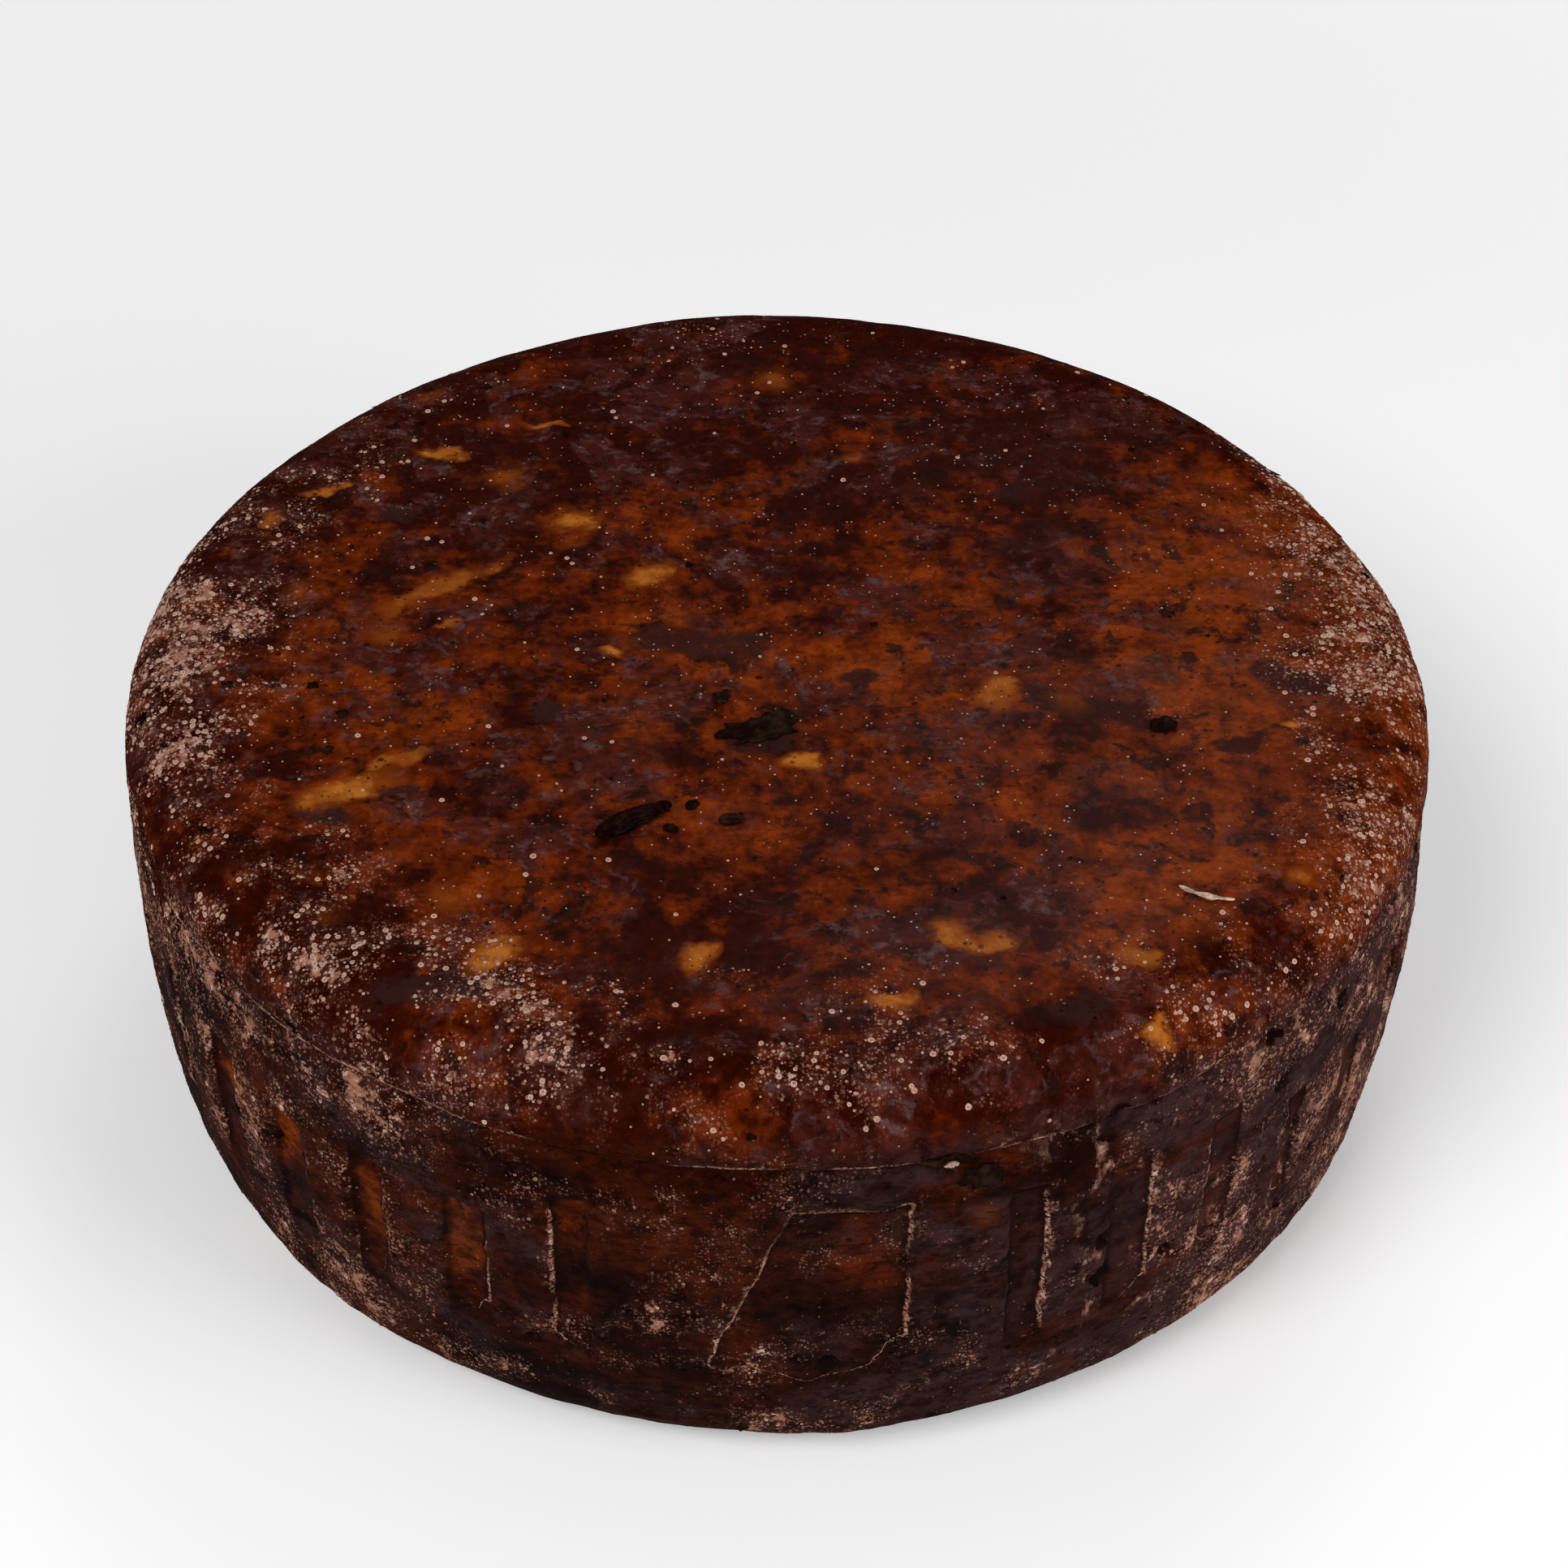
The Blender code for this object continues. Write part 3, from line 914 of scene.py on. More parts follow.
def bloom_masks(net, at, sunk, lines):
    """Dry bloom: a thin dusty coat, and the crumbs in it, with the panels' edge lines, which are partly
    painted highlight.
    """
    patches, finer, left, right = wall_bloom(net, at.place)
    # A dusty stretch of the front, left of the hoop end.
    plate = net.ramp(net.size(at.x + 0.024), 0.024, 0.019) * net.ramp(at.y, -0.10, -0.13)
    plate = plate * net.ramp(net.size(at.height - 0.056), 0.026, 0.020)
    wall = patches + left * (0.085 - sunk * 0.26) + right * (0.080 - sunk * 0.10) + plate * 0.045
    cover = net.high(net.ramp(wall, 0.50, 0.66) * at.side, edge_bloom(net, at.place) * 1.12)

    strokes = net.ramp(net.noise(at.place, 150.0, 5.0, 0.65, stretch=(1.0, 1.0, 0.35)), 0.54, 0.60)
    strokes = strokes * right * net.ramp(finer, 0.48, 0.58) * net.ramp(at.lace, 0.42, 0.52) * at.side
    lacy = at.lace + cover * 0.22
    crumbled = net.shaken(at.place, 500.0, 0.0005)
    coarse, small = net.dots(crumbled, 820.0, 0.42, 0.40, 0.6), net.dots(crumbled, 1500.0, 0.55, 0.42, 0.6)
    grains = net.either(coarse, small)
    dusty = cover * net.ramp(at.fine + at.grain * 0.5, 0.66, 0.92) * 0.4
    dusty = net.high(dusty, net.ramp(lacy, 0.67, 0.77))
    return dusty, net.either(net.ramp(lacy, 0.73, 0.79), grains * cover * 0.8, lines, strokes)


def rind_material(shape, finish):
    """The rind: red-brown wax, amber spots, marc smears, flecks, salt and dry bloom, with painted shade in
    the panels, pits and creases and painted highlight on the panels' edges and the seam.
    """
    net = Finish("waxy rind")
    at = RindPlace(net)
    outside, depth, flank = panel_field(net, at.place, shape)
    kept = net.ramp(depth, 0.05, 0.40)
    sunk = net.ramp(outside, 0.0003, -0.0003) * kept
    outside = outside + (1.0 - kept) * 0.01

    top, wisps = wax_layers(net, at, finish)
    soot = soot_mask(net, at)
    top = net.mix(soot * 0.9, top, finish.soot)
    wall, coat = wall_layers(net, at, sunk, outside, finish)
    base = net.mix(at.side, top, wall)
    halo, spots, amber = amber_masks(net, at)
    base = net.mix(halo * 0.8, base, finish.halo)
    base = net.mix(spots * 0.85, base, finish.honey)
    base = net.mix(amber * 0.95, base, finish.amber)

    lines = worn_and_highlight_lines(net, at, outside, flank, seam_field(net, at.place, shape))
    dusty, crumbs = bloom_masks(net, at, sunk, lines)
    base = net.mix(dusty * 0.75, base, finish.dust)
    # The crumbs carry the pale edge lines too, which are partly painted highlight.
    base = net.mix(crumbs * 0.85, base, finish.salmon)
    base = net.mix(net.ramp(at.grain, 0.52, 0.62) * crumbs * 0.8, base, finish.pale)

    spotted = net.shaken(at.place, 700.0, 0.0007)
    flecks = net.either(net.dots(spotted, 260.0, 0.10, 0.24), net.dots(spotted, 620.0, 0.08, 0.30))
    peppered = net.dots(spotted, 480.0, 0.24, 0.30) * halo
    pits = pit_field(net, at.place)
    # Painted shade: the pits and the creases are darkened with the fleck colour, together with the dark
    # flecks themselves.
    dark = net.either(flecks * 0.85, peppered * 0.8, net.ramp(pits, 0.05, 0.30), creases(net, at) * 0.6)
    base = net.mix(dark, base, finish.fleck)
    salt = net.either(net.dots(at.place, 900.0, 0.12, 0.25), net.dots(at.place, 420.0, 0.05, 0.17))
    salt = salt * net.ramp(net.noise(at.place, 40.0, 3.0), 0.36, 0.60) * (1.0 - pits) * (1.0 - at.side * 0.8)
    base = net.mix(salt * 0.8, base, finish.pale)

    dry = net.either(soot * 0.9, crumbs, dusty * 0.8, coat * at.side, wisps * 0.4, salt, at.side * 0.5)
    roughness = (at.grain - 0.5) * 0.22 + finish.waxy + dry * (finish.dry - finish.waxy)
    height = (at.grain - 0.5) * 0.14 + (at.middling - 0.5) * 0.30 + (at.streaks - 0.5) * at.side * 0.8
    height = height + (at.lace - 0.5) * at.upper_edge * 0.5 - sunk * 0.5
    return net.surface(
        {
            "Base Color": base,
            "Roughness": net.low(roughness, 1.0),
            "Normal": net.bump(height, 0.9, 0.001),
            "Coat Weight": (1.0 - net.low(dry, 1.0)) * (1.0 - at.upper_edge * 0.9) * 0.055,
            "Coat Roughness": 0.20,
            "Specular IOR Level": 0.0,
        }
    )


class CHEESE_OT_make_rind(Operator):
    """Makes the wheel with its uneven rind"""

    bl_idname = "cheese.make_rind"
    bl_label = "Make the rind"

    def execute(self, context):
        shape = settings("shape")
        rind = new_object("wheel_rind", rind_mesh(shape))
        sizes = {
            "Lumps": shape.lumps,
            "Dents": shape.dents,
            "Wrinkles": shape.wrinkles,
            "Panel depth": shape.panel_depth,
            "Seam depth": shape.seam_depth,
            "Pit depth": shape.pit_depth,
        }
        apply_tree(rind, relief_tree(shape), sizes)
        rind.name = "wheel_rind"
        finish_piece(rind, rind_material(shape, settings("finish")), ["cheese_wheel"])
        return {"FINISHED"}


# ----------------------------------------------------------------------------------------------------
# Specks, crumbs and flakes scattered over the rind


def lens_mesh(name, outline, segments, seed=0, ragged=0.0, curl=0.0):
    """A small closed lens, turned from (radius, height) points from its top's middle to its bottom's.

    The rim is the outline's widest point. The top is at the left of its flat map, the underside at the right.
    """
    rim = max(range(len(outline)), key=lambda index: outline[index][0])
    points, flat, rim_share = [], [], []

    def add(radius, height, turn, under):
        angle = 2 * math.pi * turn / segments
        shift = noise.noise(Vector((math.cos(angle) * 1.4, math.sin(angle) * 1.4, seed))) * ragged * 2
        reach = radius * (1 + shift)
        x, y = reach * math.cos(angle), reach * math.sin(angle)
        points.append((x, y, height + curl * x * x))
        flat.append(((0.75 if under else 0.25) + 0.16 * x, 0.5 + 0.32 * y))
        rim_share.append(radius)
        return len(points) - 1

    faces = []
    for part, under in ((outline[: rim + 1], False), (outline[rim:], True)):
        rings = []
        for radius, height in part:
            turns = range(segments) if radius > 0 else [0]
            rings.append([add(radius, height, turn, under) for turn in turns])
        for upper, lower in zip(rings, rings[1:]):
            for turn in range(segments):
                after = (turn + 1) % segments
                corners = [upper[turn % len(upper)], lower[turn % len(lower)]]
                corners += [lower[after % len(lower)], upper[after % len(upper)]]
                faces.append(list(dict.fromkeys(corners)))

    mesh = bpy.data.meshes.new(name)
    mesh.from_pydata(points, [], faces)
    layer = mesh.uv_layers.new(name="piece_map")
    for loop in mesh.loops:
        layer.data[loop.index].uv = flat[loop.vertex_index]
    share = mesh.attributes.new("rim", "FLOAT", "POINT")
    share.data.foreach_set("value", rim_share)
    bm = bmesh.new()
    bm.from_mesh(mesh)
    bmesh.ops.remove_doubles(bm, verts=bm.verts, dist=0.0001)
    bm.to_mesh(mesh)
    bm.free()
    mesh.shade_smooth()
    return mesh


def scatter_tree(name, shape_object, material, density, radii, uneven, tilt):
    """Strews copies of a small shape over the rind.

    density(net, place) is how thickly they lie, 0 to 1, and radii are the smallest and largest radius;
    uneven is how far noise pushes each copy's points, so that no two are alike;
    tilt is how far a copy may lean, in radians.
    """
    net, wires, end = geometry_tree(name, ["Most per square metre", "Seed"])
    geometry, most, seed = wires
    place = net.add("GeometryNodeInputPosition")
    options = {"distribute_method": "RANDOM"}
    inputs = {"Mesh": geometry, "Density": density(net, place) * most, "Seed": seed}
    points = net.add("GeometryNodeDistributePointsOnFaces", options, inputs)
    facing = Wire(net, points.socket.node.outputs["Rotation"])

    # Each random number of a copy has its own factor of the copy's index, so that they don't go together.
    index = net.add("GeometryNodeInputIndex")
    tone = net.chance(index * 1.37 + 0.5)
    small, large = radii
    radius = small + (large - small) * net.chance(index * 1.91 + 0.25) ** 2.9
    points = net.store(points, "tone", tone)
    points = net.store(points, "cell", index)
    leaning = (net.chance(index * 2.63 + 0.15) - 0.5) * (2 * tilt)
    turn = net.join(leaning, 0.0, net.chance(index * 2.17 + 0.75) * (2 * math.pi))
    rotate = {"Rotation": facing, "Rotate By": turn}
    turned = net.add("FunctionNodeRotateRotation", {"rotation_space": "LOCAL"}, rotate)
    shape = net.add("GeometryNodeObjectInfo", None, {"Object": shape_object}, out="Geometry")
    inputs = {"Points": points, "Instance": shape, "Rotation": turned, "Scale": radius}
    copies = net.add("GeometryNodeInstanceOnPoints", None, inputs)
    copies = net.add("GeometryNodeRealizeInstances", None, {"Geometry": copies})

    own = net.add("GeometryNodeInputPosition")
    push = net.vector("SUBTRACT", net.noise(own, 900.0, 2.0, out=1), (0.5, 0.5, 0.5))
    inputs = {"Geometry": copies, "Offset": net.scaled(push, 2 * uneven)}
    copies = net.add("GeometryNodeSetPosition", None, inputs)

    # The flat map is a square of equal cells, one for each copy.
    counted = {"component": "POINTCLOUD"}
    total = net.add("GeometryNodeAttributeDomainSize", counted, {0: points}, out="Point Count")
    row_length = net.math("CEIL", net.math("SQRT", total))
    cell = net.stored("cell")
    row = net.math("FLOOR", (cell + 0.5) / row_length)
    column = cell - row * row_length
    u, v, _ = net.split(net.stored("piece_map", "FLOAT_VECTOR"))
    flat = net.join((column + u) / row_length, (row + v) / row_length, 0.0)
    copies = net.store(copies, BAKE_MAP, flat, "FLOAT2", "CORNER")
    copies = net.add("GeometryNodeSetMaterial", None, {"Geometry": copies, "Material": material})
    net.feed(end, copies)
    return net


def tidy_attributes(mesh, keep):
    """Leaves only the map and the attributes that the finish reads."""
    for layer in [layer.name for layer in mesh.uv_layers if layer.name not in keep]:
        mesh.uv_layers.remove(mesh.uv_layers[layer])
    for name in [a.name for a in mesh.attributes if not a.is_required and not a.is_internal]:
        if name not in keep and name in mesh.attributes and not name.startswith("."):
            mesh.attributes.remove(mesh.attributes[name])


def scatter(name, shape_mesh, material, density, look, most, seed):
    """One piece of many copies of a small shape strewn over the rind; look is the tree's other values."""
    helper = new_object(name + "_shape", shape_mesh)
    piece = new_object(name, bpy.data.objects["wheel_rind"].data.copy())
    net = scatter_tree(name, helper, material, density, **look)
    apply_tree(piece, net, {"Most per square metre": most, "Seed": seed})
    bpy.data.objects.remove(helper)
    tidy_attributes(piece.data, {BAKE_MAP, "tone", "rim", "position", "material_index", "sharp_face"})
    finish_piece(piece, material)
    return piece


def speck_density(net, place):
    """Most in the bloom of the upper edge, on the wall only at the far left, and a few strays on the top."""
    x, _, height = net.split(place)
    stray = net.ramp(net.noise(place, 34.0, 4.0, 0.6), 0.54, 0.72) * 0.030 + net.ramp(x, 0.03, -0.05) * 0.009
    stray = (stray + 0.0015) * net.ramp(height, 0.090, 0.104)
    upper = net.either(net.ramp(height, 0.098, 0.106), net.ramp(x, -0.122, -0.138) * 0.7)
    return edge_bloom(net, place) ** 1.3 * upper * 1.05 + stray


def crumb_density(net, place):
    """Bloom crumbs: in the bloom of the upper edge, and on the wall between the panels."""
    _, _, height = net.split(place)
    outside, _, _ = panel_field(net, place, settings("shape"), frayed=False)
    between = net.ramp(outside, -0.0004, 0.0014)
    patches, _, left, right = wall_bloom(net, place)
    wall = net.ramp(patches + left * 0.07 + right * 0.05, 0.50, 0.62)
    wall = wall * (between * 0.92 + 0.08) * (left * 0.6 + right * 0.5 + 0.12) * net.ramp(height, 0.096, 0.086)
    return (edge_bloom(net, place) * 0.6 + wall) * net.ramp(height, 0.004, 0.012)


def flake_density(net, place):
    """Husk flakes: here and there on the whole rind, apart from its base."""
    _, _, height = net.split(place)
    return (net.ramp(net.noise(place, 24.0, 3.0), 0.46, 0.62) + 0.15) * net.ramp(height, 0.008, 0.016)


def crust_material(name, rim_colour, heart_colour, roughness):
    """Chalky crust that is pale at its rim and browner in its middle, no two grains alike."""
    net = Finish(name)
    grain = net.noise(net.place, 1400.0, 3.0)
    rim = net.ramp(net.attribute("rim") + (grain - 0.5) * 0.5, 0.25, 0.70)
    tint = net.mix(rim, heart_colour, rim_colour)
    shade = net.mix(net.ramp(net.attribute("tone"), 0.0, 0.8) * 0.65, tint, heart_colour)
    return net.surface(
        {
            "Base Color": net.mix(net.ramp(grain, 0.40, 0.62), shade, tint),
            "Roughness": (grain - 0.5) * 0.3 + roughness,
            "Normal": net.bump(grain, 0.6, 0.0003),
            "Specular IOR Level": 0.05,
        }
    )


def husk_material(name, colours, roughness, coat=0.0):
    """Dried grape skin or seed: nearly black, with warm brown on its ridges and fine wrinkles.

    colours is the first part of the names of its two colours.
    """
    bits = settings("bits")
    dark, warm = getattr(bits, colours + "_dark"), getattr(bits, colours + "_warm")
    net = Finish(name)
    patches = net.noise(net.place, 260.0, 4.0, 0.6)
    wrinkle = net.noise(net.shaken(net.place, 300.0, 0.0006), 900.0, 4.0, 0.6)
    tint = net.mix(net.ramp(patches, 0.45, 0.68), dark, warm)
    return net.surface(
        {
            "Base Color": net.mix(net.ramp(wrinkle, 0.60, 0.72) * 0.5, tint, warm),
            "Roughness": (wrinkle - 0.5) * 0.3 + roughness,
            "Normal": net.bump(wrinkle * 0.5 + patches * 0.5, 0.9, 0.0005),
            "Coat Weight": coat,
            "Coat Roughness": 0.25,
            "Specular IOR Level": 0.0,
        }
    )


class CHEESE_OT_scatter_specks(Operator):
    """Strews ring-shaped salt specks, mostly along the upper edge"""

    bl_idname = "cheese.scatter_specks"
    bl_label = "Scatter the salt specks"

    OUTLINE = ((0.0, 0.10), (0.50, 0.14), (0.76, 0.30), (1.0, -0.02), (0.0, -0.25))

    def execute(self, context):
        amounts = settings("scatter")
        mesh = lens_mesh("speck", self.OUTLINE, 7, seed=3, ragged=0.12)
        material = crust_material("salt speck", amounts.speck_pale, amounts.speck_heart, 0.7)
        radii = (amounts.speck_least, amounts.speck_radius)
        look = {"radii": radii, "uneven": 0.00012, "tilt": 0.15}
        scatter("salt_specks", mesh, material, speck_density, look, amounts.speck_density, 11)
        return {"FINISHED"}


class CHEESE_OT_scatter_crumbs(Operator):
    """Strews the crumbs of dry pinkish bloom under the upper edge and on the side"""

    bl_idname = "cheese.scatter_crumbs"
    bl_label = "Scatter the bloom crumbs"

    OUTLINE = ((0.0, 0.34), (1.0, 0.03), (0.0, -0.30))

    def execute(self, context):
        amounts = settings("scatter")
        mesh = lens_mesh("crumb", self.OUTLINE, 5, seed=5, ragged=0.3)
        dark = [part * 0.55 for part in amounts.crumb_pink]
        material = crust_material("dry bloom", amounts.crumb_pink, dark, 0.85)
        radii = (amounts.crumb_least, amounts.crumb_radius)
        look = {"radii": radii, "uneven": 0.00016, "tilt": 0.30}
        scatter("bloom_crumbs", mesh, material, crumb_density, look, amounts.crumb_density, 7)
        return {"FINISHED"}


class CHEESE_OT_scatter_flakes(Operator):
    """Strews small dark flakes of grape skin over the whole rind"""

    bl_idname = "cheese.scatter_flakes"
    bl_label = "Scatter the husk flakes"

    OUTLINE = ((0.0, 0.10), (0.55, 0.13), (1.0, 0.04), (0.0, -0.12))

    def execute(self, context):
        amounts = settings("scatter")
        mesh = lens_mesh("flake", self.OUTLINE, 11, seed=8, ragged=0.45, curl=0.12)
        material = husk_material("grape skin", "flake", 0.75)
        radii = (amounts.flake_least, amounts.flake_radius)
        look = {"radii": radii, "uneven": 0.0004, "tilt": 0.55}
        scatter("husk_flakes", mesh, material, flake_density, look, amounts.flake_density, 23)
        return {"FINISHED"}


# ----------------------------------------------------------------------------------------------------
# Bits stuck to the rind


def ringed_mesh(name, rings):
    """A closed mesh through rings of equally many points, with a point at each end."""
    count = len(rings[0])
    points = [sum(rings[0], Vector()) / count] + [point for ring in rings for point in ring]
    points.append(sum(rings[-1], Vector()) / count)
    last = len(points) - 1
    faces = []
    for step in range(count):
        after = (step + 1) % count
        faces.append((0, 1 + after, 1 + step))
        for ring in range(len(rings) - 1):
            start = 1 + ring * count
            faces.append((start + step, start + after, start + count + after, start + count + step))
        start = last - count
        faces.append((start + step, start + after, last))
    mesh = bpy.data.meshes.new(name)
    mesh.from_pydata(points, [], faces)
    bm = bmesh.new()
    bm.from_mesh(mesh)
    bmesh.ops.recalc_face_normals(bm, faces=bm.faces)
    bm.to_mesh(mesh)
    bm.free()
    mesh.shade_smooth()
    return mesh


def spindle(name, size, outline, bend=0.0, ridges=0, ridge=0.0, rough=0.0, steps=34, around=26, seed=0.0):
    """A long lump along X, centred on its middle, with its foot at z = 0.

    outline(part) is its girth, 0 to 1, at a part of its length; bend bows it sideways; ridges run along it.
    """
    length, width, height = size
    rings = []
    for step in range(1, steps):
        part = (1 - math.cos(math.pi * step / steps)) / 2
        girth = outline(part)
        sway = bend * math.sin(math.pi * part)
        ring = []
        for turn in range(around):
            angle = 2 * math.pi * turn / around
            spot = Vector((part * 5.0, math.cos(angle) * 1.3, math.sin(angle) * 1.3 + seed))
            swell = 1 + ridge * math.cos(ridges * angle + part * 1.5) + rough * noise.noise(spot * 1.8)
            swell += rough * 0.5 * noise.noise(spot * 5.0)
            y = width / 2 * girth * swell * math.cos(angle)
            z = height / 2 * (girth * swell * math.sin(angle) + 1)
            ring.append(Vector(((part - 0.5) * length, y + sway, z)))
        rings.append(ring)
    return ringed_mesh(name, rings)


def skin_flake(name, length, width, thick, crumple, seed, rings=9, around=34):
    """A crumpled scrap of grape skin on the XY plane, thin and closed, with a torn outline."""
    layers = []
    for under in (False, True):
        order = range(rings, 0, -1) if under else range(1, rings + 1)
        for ring in order:
            share = ring / rings
            layer = []
            for turn in range(around):
                angle = 2 * math.pi * turn / around
                torn = 1 + 0.50 * noise.noise(Vector((math.cos(angle) * 2, math.sin(angle) * 2, seed)))
                torn += 0.30 * noise.noise(Vector((math.cos(angle) * 6, math.sin(angle) * 6, seed)))
                reach = share * (1 + (torn - 1) * share)
                x, y = reach * math.cos(angle) * length / 2, reach * math.sin(angle) * width / 2
                fold = noise.noise(Vector((x * 330, y * 330, seed)))
                fold += 0.5 * noise.noise(Vector((x * 900, y * 900, seed)))
                lift = crumple * (fold + 0.45) + (thick / 2) * (-1 if under else 1) * (1 - share**6 * 0.7)
                layer.append(Vector((x, y, lift + thick / 2)))
            layers.append(layer)
    return ringed_mesh(name, layers)


def lay_on_rind(mesh, spot, turn, sink):
    """Drapes a small mesh that was made on the XY plane over the rind, near a spot on it."""
    rind = bpy.data.objects["wheel_rind"]
    _, centre, normal, _ = rind.closest_point_on_mesh(Vector(spot))
    along = Vector((math.cos(turn), math.sin(turn), 0.0))
    along = (along - normal * along.dot(normal)).normalized()
    across = normal.cross(along)
    for vertex in mesh.vertices:
        flat = centre + along * vertex.co.x + across * vertex.co.y
        _, foot, _, _ = rind.closest_point_on_mesh(flat)
        vertex.co = foot + normal * (vertex.co.z - sink)
    mesh.update()


def box_middle(node):
    """The middle of a node's box."""
    low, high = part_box(node)
    return [(a + b) / 2 for a, b in zip(low, high)]


def straw_material():
    """Pale dry straw with brown fibres along it."""
    bits = settings("bits")
    net = Finish("pale straw")
    fibres = net.noise(net.place, 700.0, 4.0, 0.6, stretch=(0.5, 1.4, 1.4))
    return net.surface(
        {
            "Base Color": net.mix(net.ramp(fibres, 0.40, 0.62), bits.fibre, bits.straw),
            "Roughness": (fibres - 0.5) * 0.3 + 0.7,
            "Normal": net.bump(fibres, 0.6, 0.0003),
        }
    )


class CHEESE_OT_lay_long_husk(Operator):
    """Lays the long black husk on the top"""

    bl_idname = "cheese.lay_long_husk"
    bl_label = "Lay the long husk"

    @staticmethod
    def outline(part):
        """Blunt and round at the left end, slimmer and knobbly at the right."""
        knob = 0.16 * math.exp(-(((part - 0.93) / 0.05) ** 2))
        neck = 0.12 * math.exp(-(((part - 0.84) / 0.06) ** 2))
        return math.sin(math.pi * part) ** 0.36 * (1.04 - 0.34 * part + knob - neck)

    def execute(self, context):
        size = (0.0188, 0.0060, 0.0030)
        form = {"bend": 0.0005, "ridges": 5, "ridge": 0.07, "rough": 0.22, "seed": 2.0}
        mesh = spindle("long_husk_skin", size, self.outline, steps=56, around=36, **form)
        lay_on_rind(mesh, box_middle("long_husk"), math.radians(36.0), 0.0003)
        husk = new_object("long_husk_skin", mesh)
        material = husk_material("black husk", "husk", 0.6, 0.03)
        finish_piece(husk, material, ["long_husk"])
        return {"FINISHED"}


class CHEESE_OT_lay_seed(Operator):
    """Lays the small grape seed beside the husk"""

    bl_idname = "cheese.lay_seed"
    bl_label = "Lay the grape seed"

    @staticmethod
    def outline(part):
        """Teardrop: round at one end and narrow at the other."""
        return math.sin(math.pi * part**0.72) ** 0.75

    def execute(self, context):
        size = (0.0062, 0.0034, 0.0022)
        form = {"bend": 0.0002, "ridges": 2, "ridge": 0.05, "rough": 0.10, "seed": 6.0}
        mesh = spindle("grape_seed", size, self.outline, steps=30, around=22, **form)
        lay_on_rind(mesh, box_middle("small_seed"), math.radians(8.0), 0.0002)
        seed = new_object("grape_seed", mesh)
        material = husk_material("grape seed", "seed", 0.5, 0.04)
        finish_piece(seed, material, ["small_seed"])
        return {"FINISHED"}


class CHEESE_OT_lay_crumbs(Operator):
    """Lays the two husk crumbs between the husk and the seed"""

    bl_idname = "cheese.lay_crumbs"
    bl_label = "Lay the husk crumbs"

    @staticmethod
    def outline(part):
        """Blunt at both ends."""
        return math.sin(math.pi * part) ** 0.55

    def execute(self, context):
        material = husk_material("husk crumb", "crumb", 0.7)
        size = (0.0036, 0.0024, 0.0013)
        form = {"ridges": 3, "ridge": 0.10, "rough": 0.55}
        for name, turn in (("husk_crumb_a", 60.0), ("husk_crumb_b", -20.0)):
            mesh = spindle(name + "_skin", size, self.outline, steps=16, around=18, seed=turn, **form)
            lay_on_rind(mesh, box_middle(name), math.radians(turn), 0.0002)
            finish_piece(new_object(name + "_skin", mesh), material, [name])
        return {"FINISHED"}


class CHEESE_OT_lay_splinter(Operator):
    """Lays the pale bent splinter of straw near the right edge"""

    bl_idname = "cheese.lay_splinter"
    bl_label = "Lay the straw splinter"

    @staticmethod
    def outline(part):
        """Slim, with two thicker stretches."""
        return math.sin(math.pi * part) ** 0.4 * (0.65 + 0.25 * math.sin(part * 14.0))

    def execute(self, context):
        size = (0.0118, 0.0018, 0.0013)
        form = {"bend": -0.0010, "ridges": 3, "ridge": 0.16, "rough": 0.5, "seed": 9.0}
        mesh = spindle("straw_splinter", size, self.outline, steps=44, around=12, **form)
        lay_on_rind(mesh, box_middle("pale_sliver"), math.radians(-22.0), 0.0001)
        finish_piece(new_object("straw_splinter", mesh), straw_material(), ["pale_sliver"])
        return {"FINISHED"}


class CHEESE_OT_lay_skins(Operator):
    """Lays the bigger scraps of grape skin and the pale crumb on one of them"""

    bl_idname = "cheese.lay_skins"
    bl_label = "Lay the grape skins"

    # Where they lie: x, y, height, and then length, width and turn.
    SCRAPS = (
        ((-0.003, -0.032, 0.110), 0.0175, 0.0085, 24.0),
        ((0.085, -0.031, 0.110), 0.0062, 0.0048, 10.0),
        ((0.033, -0.143, 0.095), 0.0110, 0.0075, 14.0),
        ((0.041, -0.142, 0.088), 0.0085, 0.0060, -30.0),
        ((-0.012, -0.021, 0.110), 0.0052, 0.0034, 60.0),
    )

    def execute(self, context):
        material = husk_material("grape skin scrap", "skin", 0.65, 0.02)
        for index, (spot, length, width, turn) in enumerate(self.SCRAPS):
            name = "skin_scrap_%d" % (index + 1)
            mesh = skin_flake(name, length, width, thick=0.0005, crumple=0.0013, seed=index * 3.7 + 1.0)
            lay_on_rind(mesh, spot, math.radians(turn), 0.0002)
            finish_piece(new_object(name, mesh), material)
        size = (0.0034, 0.0021, 0.0014)
        form = {"ridges": 3, "ridge": 0.1, "rough": 0.6, "seed": 4.0}
        mesh = spindle("pale_crumb", size, CHEESE_OT_lay_crumbs.outline, steps=16, around=16, **form)
        lay_on_rind(mesh, (0.0345, -0.1435, 0.0935), math.radians(20.0), -0.0006)
        finish_piece(new_object("pale_crumb", mesh), straw_material())
        return {"FINISHED"}


# ----------------------------------------------------------------------------------------------------
# Stage


def floor_material(tint):
    """Pale and matt; further out it glows more, so that it meets the pale horizon where no lamp reaches."""
    net = Finish("pale floor")
    _, reach, _ = polar(net, net.place)
    glow = net.mix(net.ramp(reach, 0.3, 2.0), (0.13, 0.13, 0.13), (0.76, 0.76, 0.76))
    return net.surface(
        {
            "Base Color": tint,
            "Roughness": 0.9,
            "Specular IOR Level": 0.0,
            "Emission Color": glow,
            "Emission Strength": 1.0,
        }
    )


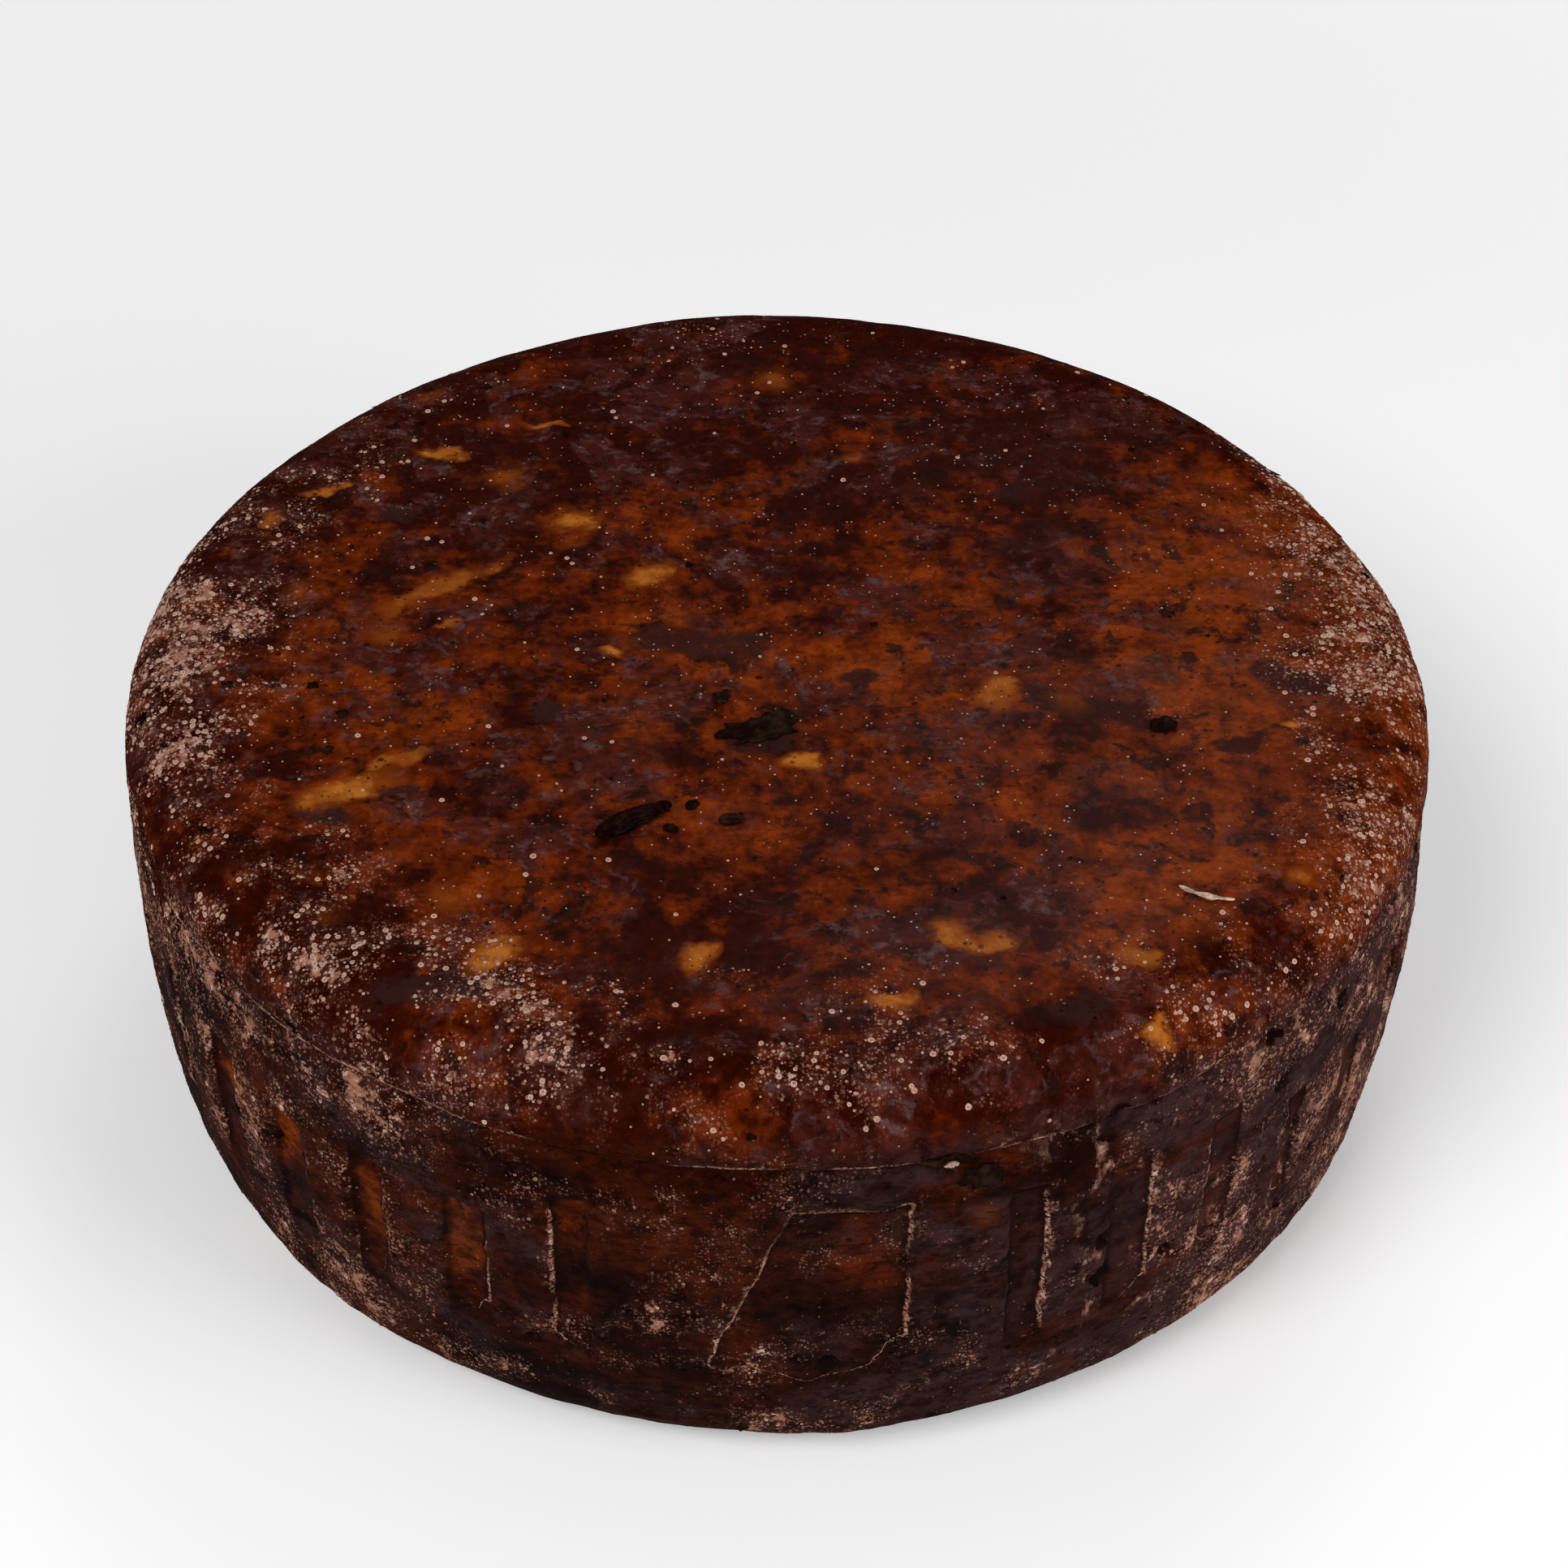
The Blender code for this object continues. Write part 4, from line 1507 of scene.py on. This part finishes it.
def add_area_light(name, place, aim, size, power):
    """A soft round light that faces a point."""
    data = bpy.data.lights.new(name, "AREA")
    data.shape = "DISK"
    data.size = size
    data.energy = power
    lamp = bpy.data.objects.new(name, data)
    lamp.location = place
    lamp.rotation_euler = (Vector(aim) - Vector(place)).to_track_quat("-Z", "Y").to_euler()
    bpy.context.scene.collection.objects.link(lamp)


class CHEESE_OT_make_stage(Operator):
    """Lays the pale floor and sets up soft studio light and the camera"""

    bl_idname = "cheese.make_stage"
    bl_label = "Make the stage"

    LAMPS = (("key", (-0.75, -0.95, 1.35)), ("fill", (1.22, -0.74, 0.70)), ("back", (0.35, 1.20, 1.60)))

    def execute(self, context):
        stage = settings("stage")
        bm = bmesh.new()
        bmesh.ops.create_circle(bm, cap_ends=True, segments=96, radius=stage.floor_radius)
        mesh = bpy.data.meshes.new("floor")
        bm.to_mesh(mesh)
        bm.free()
        floor = new_object("floor", mesh)
        mesh.materials.append(floor_material(stage.floor))

        aim = (0.0, 0.0, WHEEL_HEIGHT / 2)
        for name, place in self.LAMPS:
            add_area_light(name, place, aim, stage.lamp_size, getattr(stage, name + "_power"))
        self.make_sky(context.scene, stage)
        self.make_camera(context.scene, stage)
        context.scene.view_settings.view_transform = "Standard"
        return {"FINISHED"}

    @staticmethod
    def make_sky(scene, stage):
        """Pale round the horizon and dimmer above, so that the waxy top doesn't mirror a white ceiling."""
        world = bpy.data.worlds.new("studio")
        world.use_nodes = True
        scene.world = world
        net = Net(world.node_tree)
        direction = net.add("ShaderNodeTexCoord", out="Generated")
        _, _, rise = net.split(direction)
        shade = net.mix(net.ramp(rise, 0.02, 0.36), (2.4, 2.4, 2.4), (0.60, 0.60, 0.61))
        background = world.node_tree.nodes["Background"]
        net.feed(background.inputs["Color"], shade)
        net.feed(background.inputs["Strength"], stage.sky)

    @staticmethod
    def make_camera(scene, stage):
        """Looks at the wheel from the front and above, rolled a little."""
        data = bpy.data.cameras.new("camera")
        data.lens = stage.lens
        data.sensor_width = 36.0
        data.shift_x = stage.shift_across
        data.shift_y = stage.shift_up
        camera = bpy.data.objects.new("camera", data)
        rise = stage.elevation
        back = Vector((0.0, -math.cos(rise), math.sin(rise)))
        level = Vector((1.0, 0.0, 0.0))
        steep = Vector((0.0, math.sin(rise), math.cos(rise)))
        right = math.cos(stage.roll) * level + math.sin(stage.roll) * steep
        up = math.cos(stage.roll) * steep - math.sin(stage.roll) * level
        turn = Matrix((right, up, back)).transposed().to_4x4()
        aim = Vector((0.0, 0.0, stage.aim_height))
        camera.matrix_world = Matrix.Translation(aim + back * stage.distance) @ turn
        scene.collection.objects.link(camera)
        scene.camera = camera


# ----------------------------------------------------------------------------------------------------
# The add-on

# In the order in which they run: everything after the first lies on the rind.
STEPS = (
    CHEESE_OT_make_rind,
    CHEESE_OT_scatter_specks,
    CHEESE_OT_scatter_crumbs,
    CHEESE_OT_scatter_flakes,
    CHEESE_OT_lay_long_husk,
    CHEESE_OT_lay_seed,
    CHEESE_OT_lay_crumbs,
    CHEESE_OT_lay_splinter,
    CHEESE_OT_lay_skins,
    CHEESE_OT_make_stage,
)
GROUPS = {
    "shape": RindShape,
    "finish": RindFinish,
    "scatter": ScatterAmounts,
    "bits": BitsFinish,
    "stage": StageSetup,
}


class CHEESE_PT_panel(Panel):
    """Lists the steps that make the cheese wheel."""

    bl_idname = "CHEESE_PT_panel"
    bl_label = "Cheese wheel"
    bl_space_type = "VIEW_3D"
    bl_region_type = "UI"
    bl_category = "Cheese"

    def draw(self, context):
        for step in STEPS:
            self.layout.operator(step.bl_idname)


CLASSES = (*GROUPS.values(), *STEPS, CHEESE_PT_panel)


def register():
    for item in CLASSES:
        bpy.utils.register_class(item)
    for name, group in GROUPS.items():
        setattr(bpy.types.Scene, "cheese_" + name, PointerProperty(type=group))


def unregister():
    for name in GROUPS:
        delattr(bpy.types.Scene, "cheese_" + name)
    for item in reversed(CLASSES):
        bpy.utils.unregister_class(item)


def main():
    """Registers the add-on, then makes every piece and the stage."""
    register()
    for step in STEPS:
        family, action = step.bl_idname.split(".")
        getattr(getattr(bpy.ops, family), action)()


if __name__ == "__main__":
    main()
